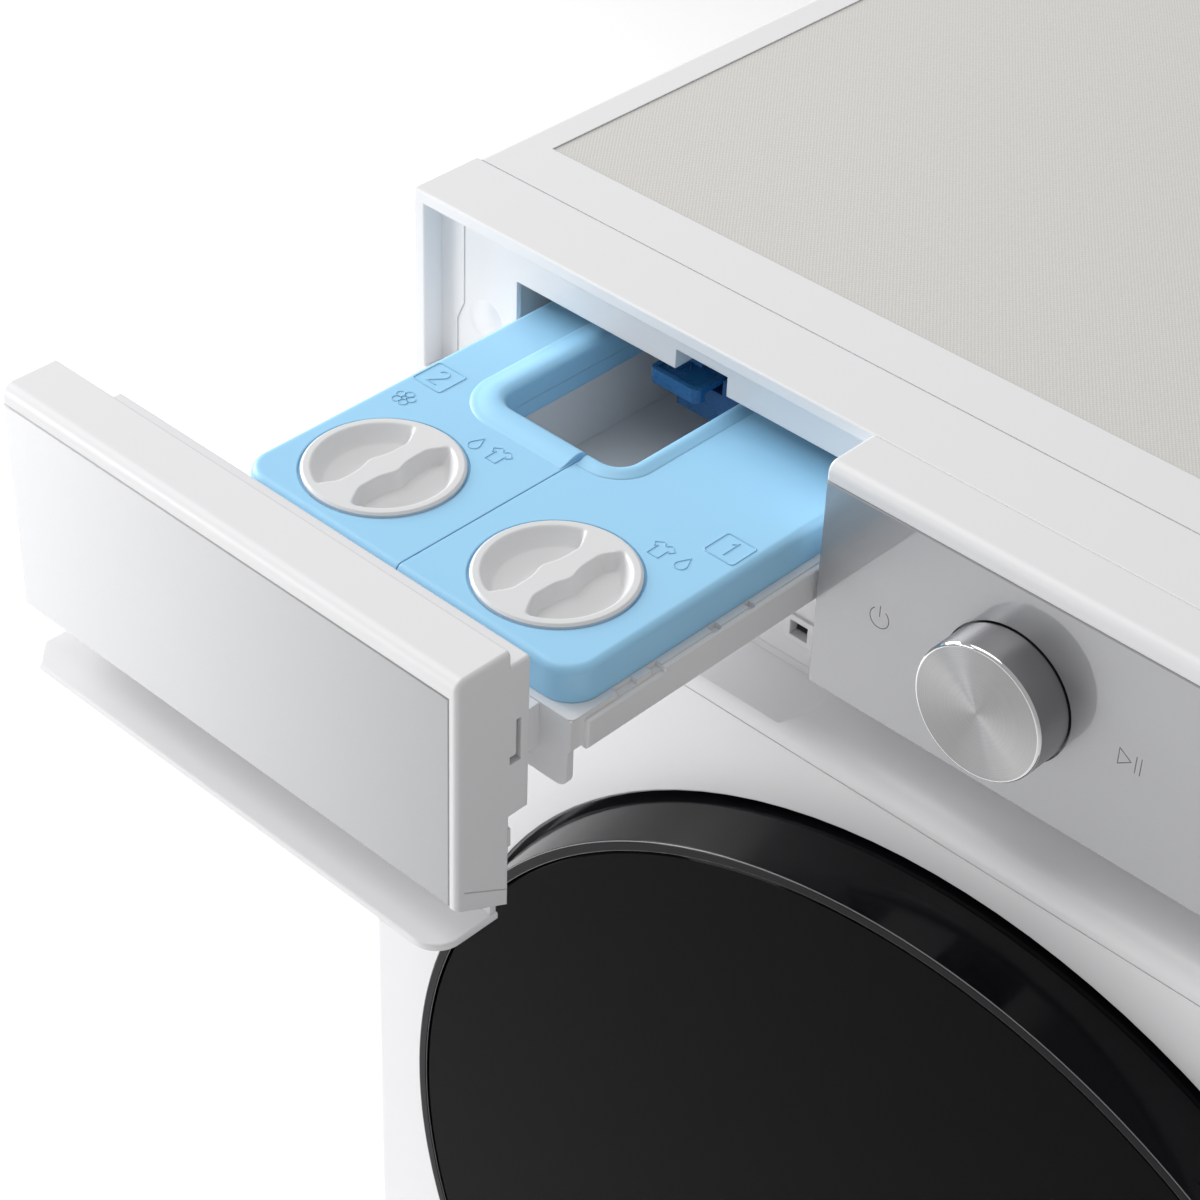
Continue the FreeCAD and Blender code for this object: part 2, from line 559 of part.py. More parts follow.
def tank(side, cap_x):
    rim_inset = TANK_INSET
    outer_x = TANK_RIGHT_X if side == 1 else TANK_LEFT_X
    powder_x = POWDER_X1 if side == 1 else POWDER_X0
    port_x = outer_x - 25 if side == 1 else outer_x + 25

    def outer_top(edge):
        # the top edges along the front and the outer side, and the arc between them
        b = edge.BoundBox
        at_side = near(b.XMin, outer_x) or near(b.XMax, outer_x)
        beside_seam = b.XLength < 0.01 and abs(b.XMin - TANK_SEAM_X) < 1
        at_back = in_plane_y(edge, TANK_BACK_Y)
        return in_plane_z(edge, TANK_TOP_Z) and (at_side or near(b.YMin, TANK_FRONT_Y)) \
            and not beside_seam and not at_back

    cover = prism_z(tank_outline(side, 0.0), TANK_RIM_Z, TANK_TOP_Z)
    cover = round_edges(cover, 12.0, lambda e: is_upright(e) and in_plane_x(e, outer_x)
                        and in_plane_y(e, TANK_FRONT_Y))
    cover = round_edges(cover, 9.0, lambda e: is_upright(e) and in_plane_x(e, powder_x)
                        and in_plane_y(e, POWDER_Y0))
    cover = round_edges(cover, 3.0, outer_top)
    vessel = prism_z(tank_outline(side, rim_inset), TANK_LOW_Z, TANK_RIM_Z + 1)
    vessel = vessel.cut(tank_bevel(side, 0.0))
    body = cover.fuse(vessel)
    space = prism_z(tank_outline(side, rim_inset + TANK_WALL), TANK_LOW_Z + TANK_WALL, TANK_TOP_Z - 2.2)
    space = space.cut(tank_bevel(side, 1.5 * TANK_WALL))
    body = body.cut(space)
    cap_recess = cyl_z(cap_x, CAP_Y, CAP_R + 1.0, TANK_TOP_Z - 1.2, TANK_TOP_Z + 1)
    neck_hole = cyl_z(cap_x, CAP_Y, CAP_NECK_R + 0.35, TANK_TOP_Z - 5, TANK_TOP_Z + 1)
    dosing_port = cyl_y(port_x, TANK_LOW_Z + 8.8, 4.0, TANK_BACK_Y - 10, TANK_BACK_Y + 1)
    return body.cut(cap_recess).cut(neck_hole).cut(dosing_port).removeSplitter()


def tank_cap(cap_x):
    # shallow dish with a grip bar across it and a plain neck below
    rim = 2.6
    dish_z = CAP_TOP_Z - 6.8
    shell = revolve_z([(0, dish_z - 2.2), (CAP_NECK_R - 2.0, dish_z - 2.2), (CAP_NECK_R - 2.0, 808.0),
                       (CAP_NECK_R, 808.0), (CAP_NECK_R, CAP_SEAT_Z), (CAP_R, CAP_SEAT_Z),
                       (CAP_R, CAP_TOP_Z - 0.8), (CAP_R - 0.8, CAP_TOP_Z), (CAP_R - rim - 0.6, CAP_TOP_Z),
                       (CAP_R - rim - 1.0, CAP_TOP_Z - 0.6), (CAP_NECK_R - 1.8, CAP_TOP_Z - 3.4),
                       (CAP_NECK_R - 2.4, dish_z), (0, dish_z)],
                      cap_x, CAP_Y)
    grip = box(cap_x - 3.2, cap_x + 3.2, CAP_Y - 25.6, CAP_Y + 25.6, dish_z - 0.8, CAP_TOP_Z - 0.2)
    outside = tube_z(cap_x, CAP_Y, 40, CAP_R - rim - 0.4, dish_z - 4, CAP_TOP_Z + 2)
    below = tube_z(cap_x, CAP_Y, 40, CAP_NECK_R - 1, dish_z - 4, CAP_SEAT_Z + 0.2)
    return shell.fuse(grip.cut(outside).cut(below)).removeSplitter()


def release_lever():
    # thumb plate on a cross pin; its stop catches behind the block in the frame
    x0, x1 = LEVER_X
    top = TANK_TOP_Z
    plate = box(x0, x1, LEVER_FRONT_Y, LEVER_PIVOT_Y - 4, top - 2.6, top)
    front = box(x0, x1, LEVER_FRONT_Y, LEVER_FRONT_Y + 4.5, top - 5.8, top)
    plate = join([plate, front])
    plate = round_edges(plate, 3.0, lambda e: is_upright(e) and in_plane_y(e, LEVER_FRONT_Y))
    pad = box(x0 + 2.2, x1 - 2.2, LEVER_FRONT_Y + 2.4, LEVER_PIVOT_Y - 20, top - 0.8, top + 1)
    plate = plate.cut(pad)
    arms = [box(x, x + 3, LEVER_PIVOT_Y - 6, LEVER_PIVOT_Y + 3, LEVER_PIVOT_Z - 3, top - 0.1)
            for x in (x0, x1 - 3)]
    stop = prism_x([(-79.2, top - 1.5), (-77.2, 828.6), (-75.4, 828.6), (-73, top - 1.5)],
                   STOP_X[0] + 3, STOP_X[1] - 2)
    pin = cyl_x(LEVER_PIVOT_Y, LEVER_PIVOT_Z, LEVER_PIN_R, x0 - 3.5, x1 + 3.5)
    return join([plate, stop, pin] + arms)


def lever_bracket():
    # dark insert behind the powder opening that carries the lever
    low = 797.6
    top = TANK_TOP_Z - 0.4
    x0 = LEVER_X[0] - 3.6
    x1 = POWDER_X1 - 0.4
    front_y = -80.0
    rear_y = POWDER_Y1 - 0.4
    front_wall = box(LEVER_X[0] + 3, x1, front_y, front_y + 2.5, low, top - 6.5)
    floor = box(LEVER_X[0] + 3, x1, front_y, rear_y, low, low + 2.5)
    cheek_left = box(x0, LEVER_X[0] - 0.8, -62, rear_y, low, top)
    cheek_right = box(LEVER_X[1] + 0.8, x1, front_y, rear_y, low, top)
    rear = box(POWDER_X0 + 0.4, x1, rear_y - 2, rear_y, low, top)
    tie = box(x0, LEVER_X[0] + 4, -62, rear_y, low, low + 2.5)
    bracket = join([front_wall, floor, cheek_left, cheek_right, rear, tie])
    return bracket.cut(cyl_x(LEVER_PIVOT_Y, LEVER_PIVOT_Z, LEVER_PIN_R + RUN_FIT, x0 - 1, LEVER_X[1] + 4.5))


def dispenser_housing():
    left = BAY_LEFT_X - 5
    right = BAY_RIGHT_X + 3.5
    front = REBATE_Y + REBATE_WALL + 0.2
    wall = 2.5
    outer = box(left, right, front, 62, HOUSING_LOW_Z, HOUSING_TOP_Z)
    inner = box(left + wall, right - wall, front - 5, 62 - wall, HOUSING_LOW_Z + wall, HOUSING_TOP_Z - 2)
    outlet = cyl_z(FILL_X, FILL_Y, 20, HOUSING_LOW_Z - 16, HOUSING_LOW_Z + 1)
    inlets = [cyl_y(x, 800, 6.0, 61, 74) for x in HOUSING_INLETS]
    shell = join([outer.cut(inner), outlet] + inlets)
    shell = shell.cut(cyl_z(FILL_X, FILL_Y, 17.5, HOUSING_LOW_Z - 17, HOUSING_LOW_Z + 3))
    stop_room = box(STOP_X[0] - 2, STOP_X[1] + 2, REBATE_Y, STOP_BACK_Y + 1.5,
                    HOUSING_TOP_Z - 3, HOUSING_TOP_Z + 3)
    shell = shell.cut(stop_room)
    for x in HOUSING_INLETS:
        shell = shell.cut(cyl_y(x, 800, 4.0, 58, 75))
    return shell.removeSplitter()


drawer_nodes = {
    "drawer_front": drawer_front(),
    "drawer_glass": drawer_glass(),
    "drawer_lip": drawer_lip(),
    "drawer_tray": drawer_tray(),
    "detergent_tank_1": tank(1, CAP_1_X),
    "detergent_tank_2": tank(2, CAP_2_X),
    "tank_cap_1": tank_cap(CAP_1_X),
    "tank_cap_2": tank_cap(CAP_2_X),
    "release_lever": release_lever(),
    "lever_bracket": lever_bracket(),
}
for name, shape in drawer_nodes.items():
    nodes[name] = opened(shape)
nodes["dispenser_housing"] = dispenser_housing()


# ================================================================ cabinet
def side_panel():
    # left side sheet: lower part full depth, upper part behind the front frame
    x0 = -HALF_W
    lower = box(x0, x0 + SHEET, -284.4, 299, BODY_BOTTOM_Z, FRONT_TOP_Z + 2)
    upper = box(x0, x0 + SHEET, TOP_FRAME_Y + 0.3, 299, FRONT_TOP_Z, TOP_FRAME_Z - 0.3)
    bottom_flange = box(x0, x0 + 14, -284.4, 299, BODY_BOTTOM_Z, BODY_BOTTOM_Z + SHEET)
    rear_flange = box(x0, x0 + 20, 298, 299, BODY_BOTTOM_Z, TOP_FRAME_Z - 0.3)
    for x, z in SCREW_SPOTS:
        if x < 0:
            rear_flange = rear_flange.cut(cyl_y(x, z, 2.1, 297, 300))
    top_flange = box(x0, x0 + 14, TOP_FRAME_Y + 0.3, 299, TOP_FRAME_Z - 1.3, TOP_FRAME_Z - 0.3)
    return join([lower, upper, bottom_flange, rear_flange, top_flange])


def front_panel():
    back_y = -285.0
    outer = box(-HALF_W, HALF_W, FRONT_Y, back_y, BODY_BOTTOM_Z, FRONT_TOP_Z)
    outer = round_edges(outer, 4.0, lambda e: is_upright(e) and abs(e.Vertexes[0].Y - FRONT_Y) < 0.01)
    inner = box(-HALF_W + SHEET, HALF_W - SHEET, FRONT_Y + SHEET, back_y + 1,
                BODY_BOTTOM_Z + SHEET, FRONT_TOP_Z - SHEET)
    inner = round_edges(inner, 3.0, lambda e: is_upright(e) and abs(e.Vertexes[0].Y - FRONT_Y - SHEET) < 0.01)
    sheet = outer.cut(inner)
    sheet = sheet.cut(cyl_y(0, AXIS_Z, RECESS_R + 1.0, FRONT_Y - 1, back_y + 2))
    dish = revolve_y([(251.5, -300), (RECESS_R, -298.6), (RECESS_R - 0.4, RECESS_FLOOR_Y - 1),
                      (206, RECESS_FLOOR_Y), (203, -268), (204.2, -268), (207, RECESS_FLOOR_Y + 1),
                      (RECESS_R + 0.6, RECESS_FLOOR_Y), (RECESS_R + 1.0, -298.2), (251.5, -299)])
    sheet = sheet.fuse(dish)
    filter_hole = box(168, 272, FRONT_Y - 1, -290, 38, 112)
    sheet = sheet.cut(filter_hole)
    for offset in (-LUG_OFFSET, LUG_OFFSET):
        z = AXIS_Z + offset
        sheet = sheet.cut(box(-245, -233, -283, -276, z - 4.5, z + 4.5))
    latch_slot = box(214, 232, -283, -276, AXIS_Z - 10, AXIS_Z + 10)
    return sheet.cut(latch_slot).removeSplitter()


def filter_frame():
    # moulded surround behind the small service opening
    ring = box(162, 278, -299, -280, 32, 118)
    front_lip = box(168.3, 271.7, -299.9, -298, 38.3, 111.7)
    flange = box(160, 280, -282, -280, 30, 120)
    frame = join([ring, front_lip, flange]).cut(box(169.5, 270.5, -301, -279, 39.5, 110.5))
    frame = frame.cut(box(178, 262, -283, -279, 42, 108))
    return frame.cut(cyl_x(FILTER_PIVOT_Y, FILTER_PIVOT_Z, FILTER_PIN_R + RUN_FIT, 168.4, 271.6))


def filter_door():
    plate = plate_y(170.2, 269.8, -299.6, -297.4, 40.3, 109.8, 3.0)
    edge = cyl_x(FILTER_PIVOT_Y, FILTER_PIVOT_Z, 1.0, 173, 267)
    clip = box(216, 224, -298, -292.5, 100, 102.5)
    pins = cyl_x(FILTER_PIVOT_Y, FILTER_PIVOT_Z, FILTER_PIN_R, 168.6, 271.4)
    return join([plate, edge, clip, pins])


def plate_y(x0, x1, y0, y1, z0, z1, radius):
    # upright plate with its four corners rounded
    plate = box(x0, x1, y0, y1, z0, z1)
    return round_edges(plate, radius, lambda e: e.BoundBox.YLength > (y1 - y0) * 0.9)


def rear_cover():
    # sheet with a drawn pocket in which the inlet thread and the drain spigot stand
    sheet = box(-296, 296, 299.1, 300, 62, TOP_FRAME_Z - 1)
    openings = [cyl_y(x, z, 12.0, 298, 301) for x in (-150, 150) for z in (330, 640)]
    openings.append(box(156, 244, 298, 301, 753, 811))
    openings.append(cyl_y(GLAND_X, GLAND_Z, 9.0, 298, 301))
    openings += [cyl_y(x, z, 2.1, 298, 301) for x, z in SCREW_SPOTS]
    for shape in openings:
        sheet = sheet.cut(shape)
    pocket = box(155, 245, POCKET_Y, 299.9, 752, 812).cut(box(156, 244, POCKET_Y + 1, 301, 753, 811))
    pocket = pocket.cut(cyl_y(INLET_X, INLET_Z, INLET_THREAD_R + 0.3, 260, 270))
    pocket = pocket.cut(cyl_y(DRAIN_X, INLET_Z, DRAIN_R + 0.3, 260, 270))
    return sheet.fuse(pocket).removeSplitter()


def transit_caps():
    caps = []
    for x in (-150, 150):
        for z in (330, 640):
            head = cyl_y(x, z, 16.0, 300.1, REARMOST_Y)
            plug = cyl_y(x, z, 11.7, 290, 300.1).cut(cyl_y(x, z, 9.5, 289, 299))
            caps.append(head.fuse(plug))
    return Part.makeCompound(caps)


def base_frame():
    z0 = BODY_BOTTOM_Z + 1.4
    z1 = 60.0
    outer = box(-298.6, 298.6, -284, 297.6, z0, z1)
    inner = box(-294, 294, -279.6, 293, z0 + 3, z1 + 1)
    pan = outer.cut(inner)
    vents = [box(x, x + 60, -120, 120, z0 - 1, z0 + 4) for x in (-110, 50)]
    for vent in vents:
        pan = pan.cut(vent)
    pan = pan.cut(box(158, 282, -285, -276, 28, 61))
    bosses = [cyl_z(x, y, 14, z0, 46) for x in (-FOOT_X, FOOT_X) for y in (FOOT_FRONT_Y, FOOT_BACK_Y)]
    sockets = [box(x - 20, x + 20, -20, 20, z0, 40) for x in (-150, 150)]
    pan = join([pan] + bosses + sockets)
    for x in (-FOOT_X, FOOT_X):
        for y in (FOOT_FRONT_Y, FOOT_BACK_Y):
            pan = pan.cut(cyl_z(x, y, STUD_R + RUN_FIT, z0 - 1, 47))
    return pan


def foot(x, y):
    pad = revolve_z([(0, 0), (FOOT_PAD_R - 1.5, 0), (FOOT_PAD_R, 1.5), (FOOT_PAD_R - 3, 10), (0, 10)], x, y)
    nut = Part.makeCylinder(8, 2.2, vec(x, y, 10))
    return join([pad, nut, cyl_z(x, y, STUD_R, 12, 52)])


def top_frame():
    outer = box(-HALF_W, HALF_W, TOP_FRAME_Y, REAR_Y, TOP_FRAME_Z, HEIGHT)
    outer = round_edges(outer, 3.0, lambda e: abs(e.BoundBox.ZMin - HEIGHT) < 0.01
                        and not runs_along_x(e))
    pocket = box(-BOARD_EDGE - 0.3, BOARD_EDGE + 0.3, BOARD_FRONT_Y - 0.3, BOARD_EDGE + 0.3,
                 BOARD_BOTTOM_Z - 0.2, HEIGHT + 1)
    hole = box(-266, 266, -196, 266, TOP_FRAME_Z - 1, HEIGHT)
    housing_room = box(BAY_LEFT_X - 7, BAY_RIGHT_X + 5.5, TOP_FRAME_Y - 1, -195,
                       TOP_FRAME_Z - 1, HOUSING_TOP_Z + 1)
    return outer.cut(pocket).cut(hole).cut(housing_room)


def top_rails():
    # two folded cross rails that tie the side panels together, with the spring hangers
    rails = []
    for y0 in (SPRING_Y - 12, 250.0):
        rails.append(box(-299, 299, y0, y0 + 1.5, 812, 826))
        rails.append(box(-299, 299, y0, y0 + 24, 824.5, 826))
    hangers = [cyl_z(x, SPRING_Y, 12, 800, 803).fuse(cyl_z(x, SPRING_Y, 4, 803, 825)) for x in (-215, 215)]
    return rails + hangers


def cabinet_wrap():
    # both side sheets and the cross rails, welded into one
    return join([side_panel(), mirrored(side_panel())] + top_rails())


nodes["cabinet_wrap"] = cabinet_wrap()
nodes["front_panel"] = front_panel()
nodes["filter_frame"] = filter_frame()
nodes["filter_door"] = filter_door()
nodes["rear_cover"] = rear_cover()
nodes["transit_caps"] = transit_caps()
nodes["base_frame"] = base_frame()
foot_spots = {
    "foot_front_left": (-FOOT_X, FOOT_FRONT_Y),
    "foot_front_right": (FOOT_X, FOOT_FRONT_Y),
    "foot_rear_left": (-FOOT_X, FOOT_BACK_Y),
    "foot_rear_right": (FOOT_X, FOOT_BACK_Y),
}
for name, spot in foot_spots.items():
    nodes[name] = foot(spot[0], spot[1])
nodes["top_frame"] = top_frame()
nodes["top_board"] = box(-BOARD_EDGE, BOARD_EDGE, BOARD_FRONT_Y, BOARD_EDGE, BOARD_BOTTOM_Z, BOARD_TOP_Z)


# ================================================================ door
def handle_scoop(grow):
    # finger grip cut into the right side of the ring, behind its front rim;
    # the grip gets deeper towards the right, so its rear face is a tilted plane
    ring = tube_y(0, AXIS_Z, 262.0, 222.0 - grow, -320.5 - grow, -296)
    half = Part.makeBox(400, 200, 600, vec(-20, -200, -300))
    half.rotate(vec(0, 0, 0), vec(0, 0, 1), math.degrees(math.atan2(19.0, 129.0)))
    half.translate(vec(114.0, -320.5 + grow, AXIS_Z))
    return ring.common(half)


def door_ring():
    section = [(239.3, DOOR_FACE_Y), (242.6, DOOR_FACE_Y), (243.4, -326.1), (247, -303),
               (247, DOOR_BACK_Y), (244, DOOR_BACK_Y), (244, -303), (241.5, -318.4),
               (222, -318.4), (222, -320.9), (239.3, -320.9)]
    ring = revolve_y(section)
    envelope = revolve_y([(200, -320.9), (242.2, -320.9), (247, -303), (247, -296), (200, -296)])
    cup = handle_scoop(2.5).common(envelope)
    ring = ring.fuse(cup).cut(handle_scoop(0.0))
    hinge_pocket = box(-252, -226, -321.0, DOOR_BACK_Y + 1, AXIS_Z - 38, AXIS_Z + 38)
    return ring.cut(hinge_pocket).removeSplitter()


def door_cover():
    disc = revolve_y([(0, -325.9), (237.6, -325.9), (239.0, -324.9), (239.0, -321.1), (0, -321.1)])
    return disc


def door_inner_frame():
    section = [(196, -287.0), (196, DOOR_BACK_Y), (243.7, DOOR_BACK_Y), (243.7, -287.0), (219, -287.0),
               (219, -317.9), (216, -317.9), (216, -291.0), (214, -287.0)]
    frame = revolve_y(section)
    hinge_pocket = box(-252, -233.5, -319, DOOR_BACK_Y + 1, AXIS_Z - 38, AXIS_Z + 38)
    arm_pocket = box(-240, -204, -319, -287.0, AXIS_Z - 41, AXIS_Z + 41)
    handle_room = handle_scoop(2.9)
    hook_hole = box(215, 225.4, -288, DOOR_BACK_Y + 1, AXIS_Z - 5.4, AXIS_Z + 5.4)
    for pocket in (hinge_pocket, arm_pocket, handle_room, hook_hole):
        frame = frame.cut(pocket)
    return frame.removeSplitter()


def door_bowl():
    return revolve_y([(0, -200), (112, -200), (138, -206), (158, -222), (170, -248), (180, -276),
                      (186, -287.2), (213, -287.2), (213, -290.8), (183, -290.8), (176.2, -277),
                      (166.2, -249.3), (155, -224.7), (136, -210), (111.5, -204), (0, -204)])


def door_hinge():
    mount_plate = box(-233, -207, -300, -296.5, AXIS_Z - 40, AXIS_Z + 40)
    posts = [box(-230, -219.5, -296.5, -287.1, AXIS_Z + z - 4, AXIS_Z + z + 4) for z in (-34, 34)]
    arm = prism_z([(-243, -312), (-241, -319), (-236, -317.5), (-207, -301), (-207, -296.5), (-232, -296.5)],
                  AXIS_Z - 24, AXIS_Z + 24)
    knuckle = cyl_z(HINGE_X, HINGE_Y, 4.6, AXIS_Z - 24, AXIS_Z + 24)
    pin = cyl_z(HINGE_X, HINGE_Y, HINGE_PIN_R, AXIS_Z - 35, AXIS_Z + 35)
    return join([mount_plate, arm, knuckle, pin] + posts)


def hinge_bracket():
    base = box(-262, -211, -278.8, -275.8, AXIS_Z - 55, AXIS_Z + 55)
    bracket = base
    for offset in (-LUG_OFFSET, LUG_OFFSET):
        z = AXIS_Z + offset
        lug = box(HINGE_X - 2.6, HINGE_X + 4.4, HINGE_Y, -277, z - 3, z + 3)
        eye = cyl_z(HINGE_X, HINGE_Y, 4.4, z - 3, z + 3)
        bracket = bracket.fuse(lug).fuse(eye)
    for offset in (-46, 46):
        bracket = bracket.cut(cyl_y(-222, AXIS_Z + offset, 2.6, -282, -272))
    hole = cyl_z(HINGE_X, HINGE_Y, HINGE_PIN_R + RUN_FIT, AXIS_Z - 50, AXIS_Z + 50)
    return bracket.cut(hole).removeSplitter()


def latch_hook():
    plate = box(219.2, 225, -288.0, -262, AXIS_Z - 5, AXIS_Z + 5)
    barb = box(215.5, 221, -268, -262, AXIS_Z - 5, AXIS_Z + 5)
    foot_plate = box(219.2, 240, -290.0, -287.1, AXIS_Z - 14, AXIS_Z + 14)
    return join([plate, barb, foot_plate])


def door_lock():
    shell = box(211.5, 250, -278.6, -238, AXIS_Z - 32, AXIS_Z + 32)
    mouth = box(214, 236, -280, -258, AXIS_Z - 9, AXIS_Z + 9)
    coil = cyl_z(236, -248, 6, AXIS_Z + 32, AXIS_Z + 44)
    return shell.cut(mouth).fuse(coil)


def gasket():
    # bellows: a collar over the panel lip, one fold, a collar over the tub neck
    outer = [(199.8, -279), (202.6, -279), (202.6, -267.7), (207.4, -267.7), (207.4, -276), (210, -276),
             (210, -264.8), (202.9, -264.8), (201.5, -252), (206, -247), (206, -241), (186.5, -236.5),
             (186.5, -226.5), (183.3, -226.5), (183.3, -232.4), (179.7, -232.4), (179.7, -216)]
    inner = [(176.8, -216), (176.8, -237), (203, -243.2), (203, -245.4), (198.4, -250.5), (199.4, -261),
             (181, -268.6), (181.5, -271), (199.8, -266)]
    return revolve_y(outer + inner)


nodes["door_ring"] = door_ring()
nodes["door_cover"] = door_cover()
nodes["door_inner_frame"] = door_inner_frame()
nodes["door_bowl"] = door_bowl()
nodes["door_hinge"] = door_hinge()
nodes["hinge_bracket"] = hinge_bracket()
nodes["latch_hook"] = latch_hook()
nodes["door_lock"] = door_lock()
nodes["gasket"] = gasket()


# ================================================================ tub
def tub_front():
    shell = revolve_y([(180, -232), (183, -232), (183, TUB_FRONT_Y), (TUB_R, TUB_FRONT_Y), (TUB_R, -48),
                       (283, -48), (283, TUB_JOINT_Y - 0.3), (TUB_R - TUB_WALL, TUB_JOINT_Y - 0.3),
                       (TUB_R - TUB_WALL, -222), (180, -222)])
    sump = cyl_z(100, -100, 22, 176, 260).cut(cyl_y(0, AXIS_Z, TUB_R - TUB_WALL, -240, -40))
    return shell.fuse(sump).cut(cyl_z(100, -100, 18, 170, 262)).removeSplitter()


def tub_rear():
    inner_r = TUB_R - TUB_WALL
    shell = revolve_y([(inner_r, TUB_JOINT_Y + 0.1), (283, TUB_JOINT_Y + 0.1), (283, -32), (TUB_R, -32),
                       (TUB_R, TUB_REAR_Y), (46, TUB_REAR_Y), (46, 216), (32.02, 216), (32.02, 176),
                       (46, 176), (46, 192), (inner_r, 192)])
    ribs = []
    for step in range(12):
        rib = box(44, 266, TUB_REAR_Y - 1, 207, -1.5, 1.5)
        rib.rotate(vec(0, 0, 0), vec(0, 1, 0), 15 + 30 * step)
        rib.translate(vec(0, 0, AXIS_Z))
        ribs.append(rib)
    bosses = []
    for angle in (90, 210, 330):
        x = 76 * math.cos(math.radians(angle))
        z = AXIS_Z + 76 * math.sin(math.radians(angle))
        bosses.append(cyl_y(x, z, 7, TUB_REAR_Y - 1, 227.8))
    ears = [box(x - 6, x + 6, SPRING_Y - 10, SPRING_Y + 10, 620, 700) for x in (-215, 215)]
    ears += [cyl_z(x, SPRING_Y, 14, 698, 702) for x in (-215, 215)]
    ears += [box(x - 9, x + 9, -10, 10, 195, 250) for x in (-150, 150)]
    ears += [cyl_z(FILL_X, FILL_Y, 16, 690, 730)]
    outside = join_loose(ears).cut(cyl_y(0, AXIS_Z, inner_r, -60, 190))
    tub = join([shell] + ribs + bosses).fuse(outside)
    fill_bore = cyl_z(FILL_X, FILL_Y, 13, 680, 740)
    heater_hole = box(-35.3, 35.3, 190, 197, 196.7, 213.3)
    return tub.cut(fill_bore).cut(heater_hole).removeSplitter()


def counterweights():
    ring = tube_y(0, AXIS_Z, 268, 215, -262, -227)
    return ring.cut(box(-300, 300, -270, -220, AXIS_Z - 62, AXIS_Z + 62))


def drum():
    shell = revolve_y([(184, -206), (186, -210), (240, -210), (DRUM_R, -201), (DRUM_R, DRUM_REAR_Y),
                       (DRUM_R - 1, DRUM_REAR_Y), (DRUM_R - 1, -200.6), (239.6, -209), (186.6, -209),
                       (184.9, -205.6)])
    rear = revolve_y([(SHAFT_R + 1, 150), (60, 150), (110, 158), (DRUM_R - 0.5, 158), (DRUM_R - 0.5, 159.2),
                      (109.6, 159.2), (59.6, 151.2), (SHAFT_R + 1, 151.2)])
    return shell.fuse(rear).removeSplitter()


def drum_spider():
    # cast three-arm spider with the drum shaft cast in
    hub = cyl_y(0, AXIS_Z, 38, 152.4, 174.5)
    arms = []
    for step in range(3):
        arm = box(0, 246, 160.5, 172, -17, 17)
        arm.rotate(vec(0, 0, 0), vec(0, 1, 0), 30 + 120 * step)
        arm.translate(vec(0, 0, AXIS_Z))
        arms.append(arm)
    spider = join([hub] + arms).common(cyl_y(0, AXIS_Z, 247.6, 140, 190))
    shaft = cyl_y(0, AXIS_Z, SHAFT_R, 152.4, 240).fuse(cyl_y(0, AXIS_Z, 10, 240, 264))
    return spider.fuse(shaft).removeSplitter()


def drum_lifters():
    outline = [(-31, -250), (-24, -232), (-9, -204), (9, -204), (24, -232), (31, -250)]
    ridge = face_from([vec(x, -170, z) for x, z in outline]).extrude(vec(0, 300, 0))
    ridge = ridge.common(cyl_y(0, 0, 247.7, -180, 140))
    lifters = []
    for step in range(3):
        one = ridge.copy()
        one.rotate(vec(0, 0, 0), vec(0, 1, 0), 120 * step)
        one.translate(vec(0, 0, AXIS_Z))
        lifters.append(one)
    return Part.makeCompound(lifters)


def bearings():
    rings = [tube_y(0, AXIS_Z, 32.0, SHAFT_R + RUN_FIT, y, y + 15) for y in (178, 199)]
    return Part.makeCompound(rings)


def rotor():
    return revolve_y([(10.02, 246), (24, 246), (24, 259), (136, 259), (136, 226), (140, 226), (140, 262),
                      (10.02, 262)])


def stator():
    core = tube_y(0, AXIS_Z, 90, 62, 230, 250)
    teeth = []
    for step in range(24):
        tooth = box(88, 124, 230, 250, -4, 4)
        head = box(124, 130, 228, 252, -7.5, 7.5)
        one = tooth.fuse(head)
        one.rotate(vec(0, 0, 0), vec(0, 1, 0), 15 * step)
        one.translate(vec(0, 0, AXIS_Z))
        teeth.append(one)
    bosses = []
    for angle in (90, 210, 330):
        x = 76 * math.cos(math.radians(angle))
        z = AXIS_Z + 76 * math.sin(math.radians(angle))
        bosses.append(cyl_y(x, z, 7, 228, 231))
    return join([core] + teeth + bosses)


def heater():
    legs = [cyl_y(x, 205, 4, -110, 190) for x in (-22, 22)]
    bend = Part.makeTorus(22, 4, vec(0, -110, 205), vec(0, 0, 1)).cut(box(-40, 40, -110, -60, 190, 220))
    plug = box(-35, 35, 189.5, 202, 197, 213)
    tabs = [box(x - 3, x + 3, 202, 210, 204, 206) for x in (-22, 22)]
    return join(legs + [bend, plug] + tabs)


def springs():
    coils = []
    for x in (-215, 215):
        helix = Part.makeHelix(6.0, 92.0, 10.0)
        helix.translate(vec(x, SPRING_Y, 705))
        ring = Part.Wire(Part.makeCircle(1.7, vec(x + 10, SPRING_Y, 705), vec(0, 1, 0)))
        coils.append(Part.Wire(helix).makePipeShell([ring], True, True))
    return Part.makeCompound(coils)


def dampers():
    bodies = [tube_z(x, 0, 15, 6, 40.3, 150) for x in (-150, 150)]
    rods = [cyl_z(x, 0, 5, 60, 194.6) for x in (-150, 150)]
    return Part.makeCompound(bodies + rods)


nodes["tub_front"] = tub_front()
nodes["tub_rear"] = tub_rear()
nodes["counterweights"] = counterweights()
nodes["drum"] = drum()
nodes["drum_spider"] = drum_spider()
nodes["drum_lifters"] = drum_lifters()
nodes["bearings"] = bearings()
nodes["rotor"] = rotor()
nodes["stator"] = stator()
nodes["heater"] = heater()
nodes["springs"] = springs()
nodes["dampers"] = dampers()


